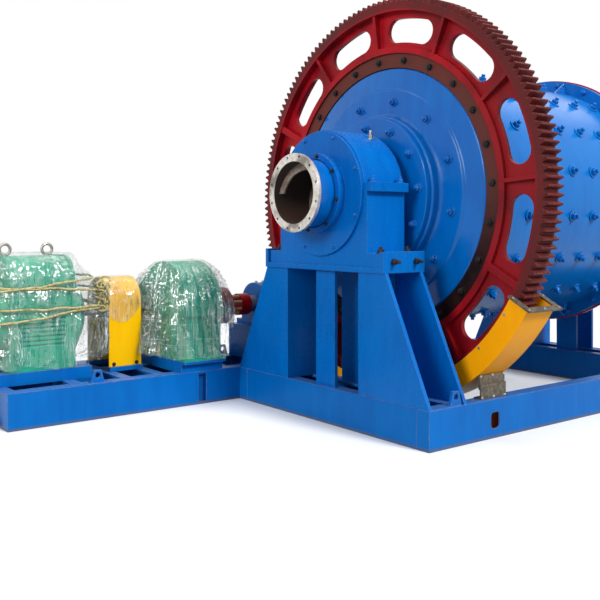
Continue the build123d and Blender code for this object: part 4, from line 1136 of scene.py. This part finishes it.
@dataclass
class Wrapping:
    """Clear film tied over the motor, the coupling guard and the reducer."""

    shop: Workshop
    voxel: float = 0.015
    clearance: float = 0.012
    smooth: float = math.radians(60.0)
    seed: int = 5
    wander_scale: float = 2.4
    wander_reach: float = 0.10
    folds_across: float = 7.0
    folds_along: float = 1.1
    fan_folds: float = 5.6
    fan_fall: float = 0.6
    fan_reach: float = 0.45
    facet_scale: float = 6.5
    fine_scale: float = 19.0
    tie_reach: float = 0.045
    tie_grip: float = 0.92
    flat_top: float = 0.75
    rope_radius: float = 0.012
    rope_middle: float = -1.90
    rope_steps: int = 180
    rope_sag: float = 0.018
    ropes: Tuple[Point, ...] = ((1.10, 0.12), (1.065, -0.04), (0.90, -0.01), (0.84, 0.10))
    strand_radius: float = 0.009
    strand_steps: int = 24
    knots: Tuple[Tuple[Corner, float, int, int], ...] = (
        ((-1.40, 1.53, 1.03), 0.075, 11, 4), ((-1.38, 1.53, 0.90), 0.060, 8, 9))
    motor_bulge: Tuple[Corner, ...] = (
        (-1.36, 1.58, 0.50), (-1.36, 1.58, 0.98), (-1.36, 2.10, 0.50), (-1.36, 2.10, 0.98))
    motor_folds: Point = (0.055, 3.1)
    motor_flat: Point = (2.9, 2.6)
    motor_ties: Point = (1.08, 0.88)
    motor_hem: Point = (0.415, 0.05)
    reducer_spread: Tuple[Corner, ...] = (
        (-0.95, 1.28, 0.43), (-0.93, 2.16, 0.43), (-0.30, 1.24, 0.80), (-0.30, 1.75, 0.80), (-0.26, 1.36, 0.73))
    reducer_folds: Point = (0.080, 11.7)
    reducer_flat: Point = (2.3, 2.2)
    reducer_apex: Corner = (-0.66, 1.52, 1.30)
    reducer_hem: Point = (0.43, 0.04)
    reducer_hem_rise: float = 0.25
    reducer_hem_start: float = -0.42
    reducer_hem_run: float = 0.05
    reducer_tip: Corner = (-0.27, 1.34, 0.72)
    reducer_tip_move: Corner = (0.10, -0.05, -0.02)
    reducer_tip_reach: float = 0.07
    coupling_reach: float = 0.205
    coupling_back: float = -0.290
    shaft_reach: float = 0.110
    shaft_start: float = -0.6
    guard_folds: Point = (0.010, 5.9)
    guard_flat: Point = (1.2, 0.9)
    guard_hem: Point = (0.71, 0.03)
    guard_hem_bow: float = 5.0
    guard_middle: float = -1.16

    def hull(self, names: Sequence[str], extra: Sequence[Corner]) -> bmesh.types.BMesh:
        """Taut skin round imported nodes, cut into small even faces.

        Args:
            names: Nodes that are wrapped.
            extra: Further points that the skin reaches.

        Returns:
            The closed skin.
        """
        cloud = bmesh.new()
        for name in names:
            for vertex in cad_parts[name].data.vertices:
                cloud.verts.new(vertex.co)
        for point in extra:
            cloud.verts.new(point)
        made = bmesh.ops.convex_hull(cloud, input=cloud.verts[:])
        loose = [vert for vert in made["geom_interior"] + made["geom_unused"]
                 if isinstance(vert, bmesh.types.BMVert)]
        bmesh.ops.delete(cloud, geom=list(set(loose)), context="VERTS")
        mesh = bpy.data.meshes.new("hull")
        cloud.to_mesh(mesh)
        cloud.free()
        holder = bpy.data.objects.new("hull", mesh)
        bpy.context.scene.collection.objects.link(holder)
        remesh = holder.modifiers.new("even", "REMESH")
        remesh.mode = "VOXEL"
        remesh.voxel_size = self.voxel
        graph = bpy.context.evaluated_depsgraph_get()
        skin = bmesh.new()
        skin.from_mesh(holder.evaluated_get(graph).to_mesh())
        bpy.data.objects.remove(holder)
        bpy.data.meshes.remove(mesh)
        for _ in range(3):
            bmesh.ops.smooth_vert(skin, verts=skin.verts[:], factor=0.5, use_axis_x=True, use_axis_y=True,
                                  use_axis_z=True)
        return skin

    def crumple(self, skin: bmesh.types.BMesh, depth: float, seed: float, ties: Sequence[float] = (),
                apex: Optional[Vector] = None) -> None:
        """Push the skin outwards into folds, and pull it in where ropes tie it.

        Args:
            skin: Skin that is changed.
            depth: Height of the largest folds.
            seed: Shift of the noise.
            ties: Heights of the ropes.
            apex: Point from which the folds fan out; they hang upright without it.
        """
        skin.normal_update()
        shift = Vector((seed, seed * 0.7, -seed))
        moves = []
        for vert in skin.verts:
            spot = vert.co + shift
            bent = spot + noise.noise_vector(spot * self.wander_scale) * self.wander_reach
            grain = Vector((bent.x * self.folds_across, bent.y * self.folds_across, bent.z * self.folds_along))
            reach = 1.0
            if apex is not None:
                out = vert.co - apex
                angle = math.atan2(out.y, out.x) + 0.35 * noise.noise(spot * 1.5)
                reach = min(1.0, out.length / self.fan_reach)
                grain = Vector((math.cos(angle) * self.fan_folds, math.sin(angle) * self.fan_folds,
                                out.z * self.fan_fall))
            long_folds = 1.0 - abs(noise.noise(grain))
            facets = noise.voronoi(bent * self.facet_scale)[0]
            crisp = min(1.0, (facets[1] - facets[0]) * 1.8)
            fine = noise.noise(spot * self.fine_scale)
            loose = 0.25 if apex is None else 0.10
            rise = depth * reach * ((1.0 - loose) * long_folds ** 4 + loose * (1.0 - crisp) + 0.4 * loose * fine)
            for height in ties:
                rise *= 1.0 - self.tie_grip * math.exp(-((vert.co.z - height) / self.tie_reach) ** 2)
            rise *= 1.0 - self.flat_top * max(0.0, vert.normal.z) ** 2
            moves.append(vert.normal * (self.clearance + max(rise, 0.0)))
        for vert, move in zip(skin.verts, moves):
            vert.co += move

    def trim(self, skin: bmesh.types.BMesh, hem: Callable[[Vector], float]) -> None:
        """Cut the skin off below its hem.

        Args:
            skin: Skin that is changed.
            hem: Height of the hem at a point.
        """
        middles = [(face, face.calc_center_median()) for face in skin.faces]
        low = [face for face, middle in middles if middle.z < hem(middle)]
        bmesh.ops.delete(skin, geom=low, context="FACES")

    def pull(self, skin: bmesh.types.BMesh, middle: Vector, way: Vector, reach: float) -> None:
        """Draw a corner of the film out into a tip.

        Args:
            skin: Skin that is changed.
            middle: Point that moves most.
            way: Its move.
            reach: Distance at which the pull fades.
        """
        for vert in skin.verts:
            vert.co += way * math.exp(-((vert.co - middle).length / reach) ** 2)

    def publish(self, name: str, skin: bmesh.types.BMesh, rests_on: Sequence[str], flat: Point,
                finish: Film = PACKING_FILM) -> None:
        """Turn a skin into a film piece on the frame.

        Args:
            name: Piece name.
            skin: Finished skin.
            rests_on: Nodes that carry it; not used.
            flat: Width and length of the cut film; not used.
            finish: Kind of film.
        """
        area = sum(face.calc_area() for face in skin.faces)
        LOG.info("%s covers %.3f square metres", name, area)
        piece = self.shop.publish(name, skin, Body.FRAME, finish, smooth=self.smooth)
        list(rests_on)

    @staticmethod
    def ragged(point: Vector, height: float, reach: float) -> float:
        """Uneven hem height near a point."""
        return height + reach * noise.noise(Vector((point.x * 3.1, point.y * 3.1, 7.0)))

    def girdle(self, skin: bmesh.types.BMesh, height: float, slope: float) -> List[Vector]:
        """Loop round a skin in a leaning plane.

        Args:
            skin: Skin that is tied.
            height: Height of the plane at the motor's middle.
            slope: Rise of the plane along X.

        Returns:
            Points of the loop.
        """
        middle = Vector((self.rope_middle, MOTOR_Y, height))
        tree = BVHTree.FromBMesh(skin)
        angles = [index / self.rope_steps * math.tau for index in range(self.rope_steps)]
        ways = [Vector((math.cos(angle), math.sin(angle), slope * math.cos(angle))).normalized()
                for angle in angles]
        reach = [(tree.ray_cast(middle + way * 3.0, -way)[0] - middle).length for way in ways]
        loop = []
        for index, (angle, way) in enumerate(zip(angles, ways)):
            near = [reach[(index + step) % self.rope_steps] for step in (-4, -2, 0, 2, 4)]
            radius = max(near[2], sum(near) / len(near)) + self.rope_radius * 0.5
            sag = self.rope_sag * noise.noise(Vector((angle * 2.3, height * 9.0, slope)))
            loop.append(middle + way * radius + Vector((0.0, 0.0, sag)))
        return loop

    def tangle(self, middle: Vector, size: float, count: int, seed: int) -> List[List[Vector]]:
        """Loops of a loose knot.

        Args:
            middle: Middle of the knot.
            size: Its radius.
            count: Number of loops.
            seed: Start of the random turns.

        Returns:
            Points of each loop.
        """
        turns = random.Random(seed)
        loops = []
        for _ in range(count):
            tilt = Matrix.Rotation(turns.uniform(0.0, math.tau), 3, Vector((
                turns.uniform(-1.0, 1.0), turns.uniform(-1.0, 1.0), turns.uniform(-1.0, 1.0))).normalized())
            radius = size * turns.uniform(0.45, 1.0)
            lift = Vector((turns.uniform(-0.4, 0.4), turns.uniform(-0.4, 0.4), turns.uniform(-0.8, 0.8))) * size
            loop = []
            for step in range(self.strand_steps):
                angle = step / self.strand_steps * math.tau
                loop.append(middle + lift + tilt @ Vector((
                    radius * math.cos(angle), radius * 0.7 * math.sin(angle), radius * 0.3 * math.sin(2 * angle))))
            loops.append(loop)
        return loops

    def build_motor(self) -> None:
        """Wrap the motor and tie it with ropes."""
        wrapped = ("motor_frame", "motor_ends")
        skin = self.hull(wrapped, self.motor_bulge)
        self.crumple(skin, *self.motor_folds, self.motor_ties)
        loops = [self.girdle(skin, height, slope) for height, slope in self.ropes]
        self.shop.bead("motor_ropes", loops, self.rope_radius, STRAW, True)
        knot = [loop for middle, *rest in self.knots for loop in self.tangle(Vector(middle), *rest)]
        self.shop.bead("motor_rope_knot", knot, self.strand_radius, STRAW, True)
        self.trim(skin, lambda point: self.ragged(point, *self.motor_hem))
        self.publish("motor_film", skin, wrapped, self.motor_flat)

    def build_reducer(self) -> None:
        """Drape the reducer, with a tip drawn out beside the coupling."""
        skin = self.hull(("reducer_lower_case", "reducer_upper_case"), self.reducer_spread)
        self.crumple(skin, *self.reducer_folds, apex=Vector(self.reducer_apex))
        self.trim(skin, self._reducer_hem)
        self.pull(skin, Vector(self.reducer_tip), Vector(self.reducer_tip_move), self.reducer_tip_reach)
        self.keep_off_coupling(skin)
        self.publish("reducer_film", skin, ("reducer_upper_case", "reducer_lower_case"), self.reducer_flat)

    def keep_off_coupling(self, skin: bmesh.types.BMesh) -> None:
        """Push the film back behind the turning coupling and open it round the shaft.

        Args:
            skin: Skin that is changed.
        """
        def from_axis(point: Vector) -> float:
            """Distance from the pinion's axis."""
            return math.hypot(point.y - PINION_Y, point.z - PINION_Z)

        for vert in skin.verts:
            if from_axis(vert.co) < self.coupling_reach:
                vert.co.x = min(vert.co.x, self.coupling_back)
        middles = [(face, face.calc_center_median()) for face in skin.faces]
        pierced = [face for face, middle in middles
                   if middle.x > self.shaft_start and from_axis(middle) < self.shaft_reach]
        bmesh.ops.delete(skin, geom=pierced, context="FACES")

    def _reducer_hem(self, point: Vector) -> float:
        """Hem of the reducer's film: low all round, and high at the coupling."""
        height, reach = self.reducer_hem
        rise = min(1.0, max(0.0, (point.x - self.reducer_hem_start) / self.reducer_hem_run))
        return self.ragged(point, height + rise * self.reducer_hem_rise, reach)

    def build_guard(self) -> None:
        """Lay film over the top of the coupling guard."""
        skin = self.hull(("coupling_guard",), ())
        self.crumple(skin, *self.guard_folds)
        self.trim(skin, lambda point: self.ragged(point, *self.guard_hem)
                  + self.guard_hem_bow * (point.x - self.guard_middle) ** 2)
        self.publish("coupling_guard_film", skin, ("coupling_guard",), self.guard_flat, HAZY_FILM)

    def build(self) -> None:
        """Wrap all three machines."""
        noise.seed_set(self.seed)
        self.build_motor()
        self.build_reducer()
        self.build_guard()


@dataclass
class Studio:
    """Camera at the photograph's place, pale floor and soft light."""

    place: Corner = (-4.502, -5.095, 1.564)
    yaw: float = 0.9398
    pitch: float = -0.0034
    roll: float = -0.0012
    focal_pixels: float = 823.408
    image_pixels: float = 600.0
    centre_pixels: Point = (263.127, 231.299)
    sensor: float = 36.0
    floor_half: float = 60.0
    floor_clear: float = 3.5
    floor_fade: float = 8.0
    floor_lit: float = 0.32
    floor_seen: float = 0.88
    floor_roughness: float = 0.9
    sky_colour: Colour = (0.94, 0.97, 1.0, 1.0)
    sky_strength: float = 0.55
    suns: Tuple[Tuple[str, Corner, float, float], ...] = (
        ("key", (0.15, -0.80, 0.62), 15.0, 2.7), ("fill", (-0.9, -0.15, 0.35), 22.0, 1.4),
        ("top", (0.1, 0.2, 1.0), 40.0, 0.8), ("rim", (0.83, 0.14, 0.54), 20.0, 0.10))

    def build_camera(self) -> None:
        """Place the camera."""
        data = bpy.data.cameras.new("camera")
        data.sensor_width = self.sensor
        data.lens = self.focal_pixels / self.image_pixels * self.sensor
        data.shift_x = 0.5 - self.centre_pixels[0] / self.image_pixels
        data.shift_y = self.centre_pixels[1] / self.image_pixels - 0.5
        camera = bpy.data.objects.new("camera", data)
        ahead = Vector((math.cos(self.yaw), math.sin(self.yaw), math.tan(self.pitch)))
        look = ahead.to_track_quat("-Z", "Y").to_matrix().to_4x4()
        camera.matrix_world = Matrix.Translation(self.place) @ look @ Matrix.Rotation(self.roll, 4, "Z")
        bpy.context.scene.collection.objects.link(camera)
        bpy.context.scene.camera = camera

    def build_floor(self) -> None:
        """Lay a pale floor that shows white to the camera and keeps the shadow."""
        shape = bmesh.new()
        bmesh.ops.create_grid(shape, x_segments=1, y_segments=1, size=self.floor_half)
        mesh = bpy.data.meshes.new("floor")
        shape.to_mesh(mesh)
        shape.free()
        floor = bpy.data.objects.new("floor", mesh)
        bpy.context.scene.collection.objects.link(floor)
        mesh.materials.append(self._floor_material())

    def _floor_material(self) -> bpy.types.Material:
        """Pale floor round the mill that runs out into the white surroundings."""
        graph = Graph.of_material("floor")
        x, y, _ = graph.axes(graph.place)
        away = (x * x + y * y).sqrt().ramp(self.floor_clear, self.floor_fade)
        grey, pale = (graph.node("ShaderNodeBsdfPrincipled", inputs={
            "Base Color": (value, value, value, 1.0), "Roughness": self.floor_roughness})
            for value in (self.floor_lit, self.floor_seen))
        white = graph.node("ShaderNodeEmission", inputs={"Color": WHITE})
        shown = graph.blend(graph.looked_at(), grey, graph.blend(away, pale, white))
        graph.node("ShaderNodeOutputMaterial", inputs={"Surface": Field(graph, shown.outputs[0])})
        return graph.owner

    def build_light(self) -> None:
        """Set the sky, white where it is looked at, and the soft lamps."""
        graph = Graph(bpy.data.worlds.new("sky"))
        bpy.context.scene.world = graph.owner
        sky = graph.node("ShaderNodeBackground", inputs={
            "Color": self.sky_colour, "Strength": self.sky_strength})
        white = graph.node("ShaderNodeBackground", inputs={"Color": WHITE})
        shown = graph.blend(graph.looked_at(), sky, white)
        graph.node("ShaderNodeOutputWorld", inputs={"Surface": Field(graph, shown.outputs[0])})
        for sun in self.suns:
            self._sun(*sun)

    def _sun(self, name: str, way: Corner, spread: float, power: float) -> None:
        """Hang one soft lamp far off.

        Args:
            name: Lamp name.
            way: Direction from the mill to the lamp.
            spread: Its width in degrees.
            power: Its strength.
        """
        data = bpy.data.lights.new(name, "SUN")
        data.angle = math.radians(spread)
        data.energy = power
        lamp = bpy.data.objects.new(name, data)
        lamp.rotation_euler = Vector(way).to_track_quat("Z", "Y").to_euler()
        bpy.context.scene.collection.objects.link(lamp)

    def build(self) -> None:
        """Build everything that isn't part of the mill."""
        bpy.context.scene.view_settings.view_transform = "Standard"
        self.build_camera()
        self.build_floor()
        self.build_light()


def main() -> None:
    """Build the studio and dress every part of the mill."""
    logging.basicConfig(level=logging.INFO, format="%(name)s %(message)s")
    shop = Workshop()
    Studio().build()
    drum = Drum(shop)
    drum.dress()
    drum.build_castings()
    drum.build_vanes()
    drum.build_bolts()
    mill_frame = Frame(shop)
    mill_frame.dress()
    mill_frame.build_bolts()
    mill_frame.build_welds()
    drive = Drive(shop)
    drive.dress()
    drive.build_bolts()
    Wrapping(shop).build()


if __name__ == "__main__":
    main()
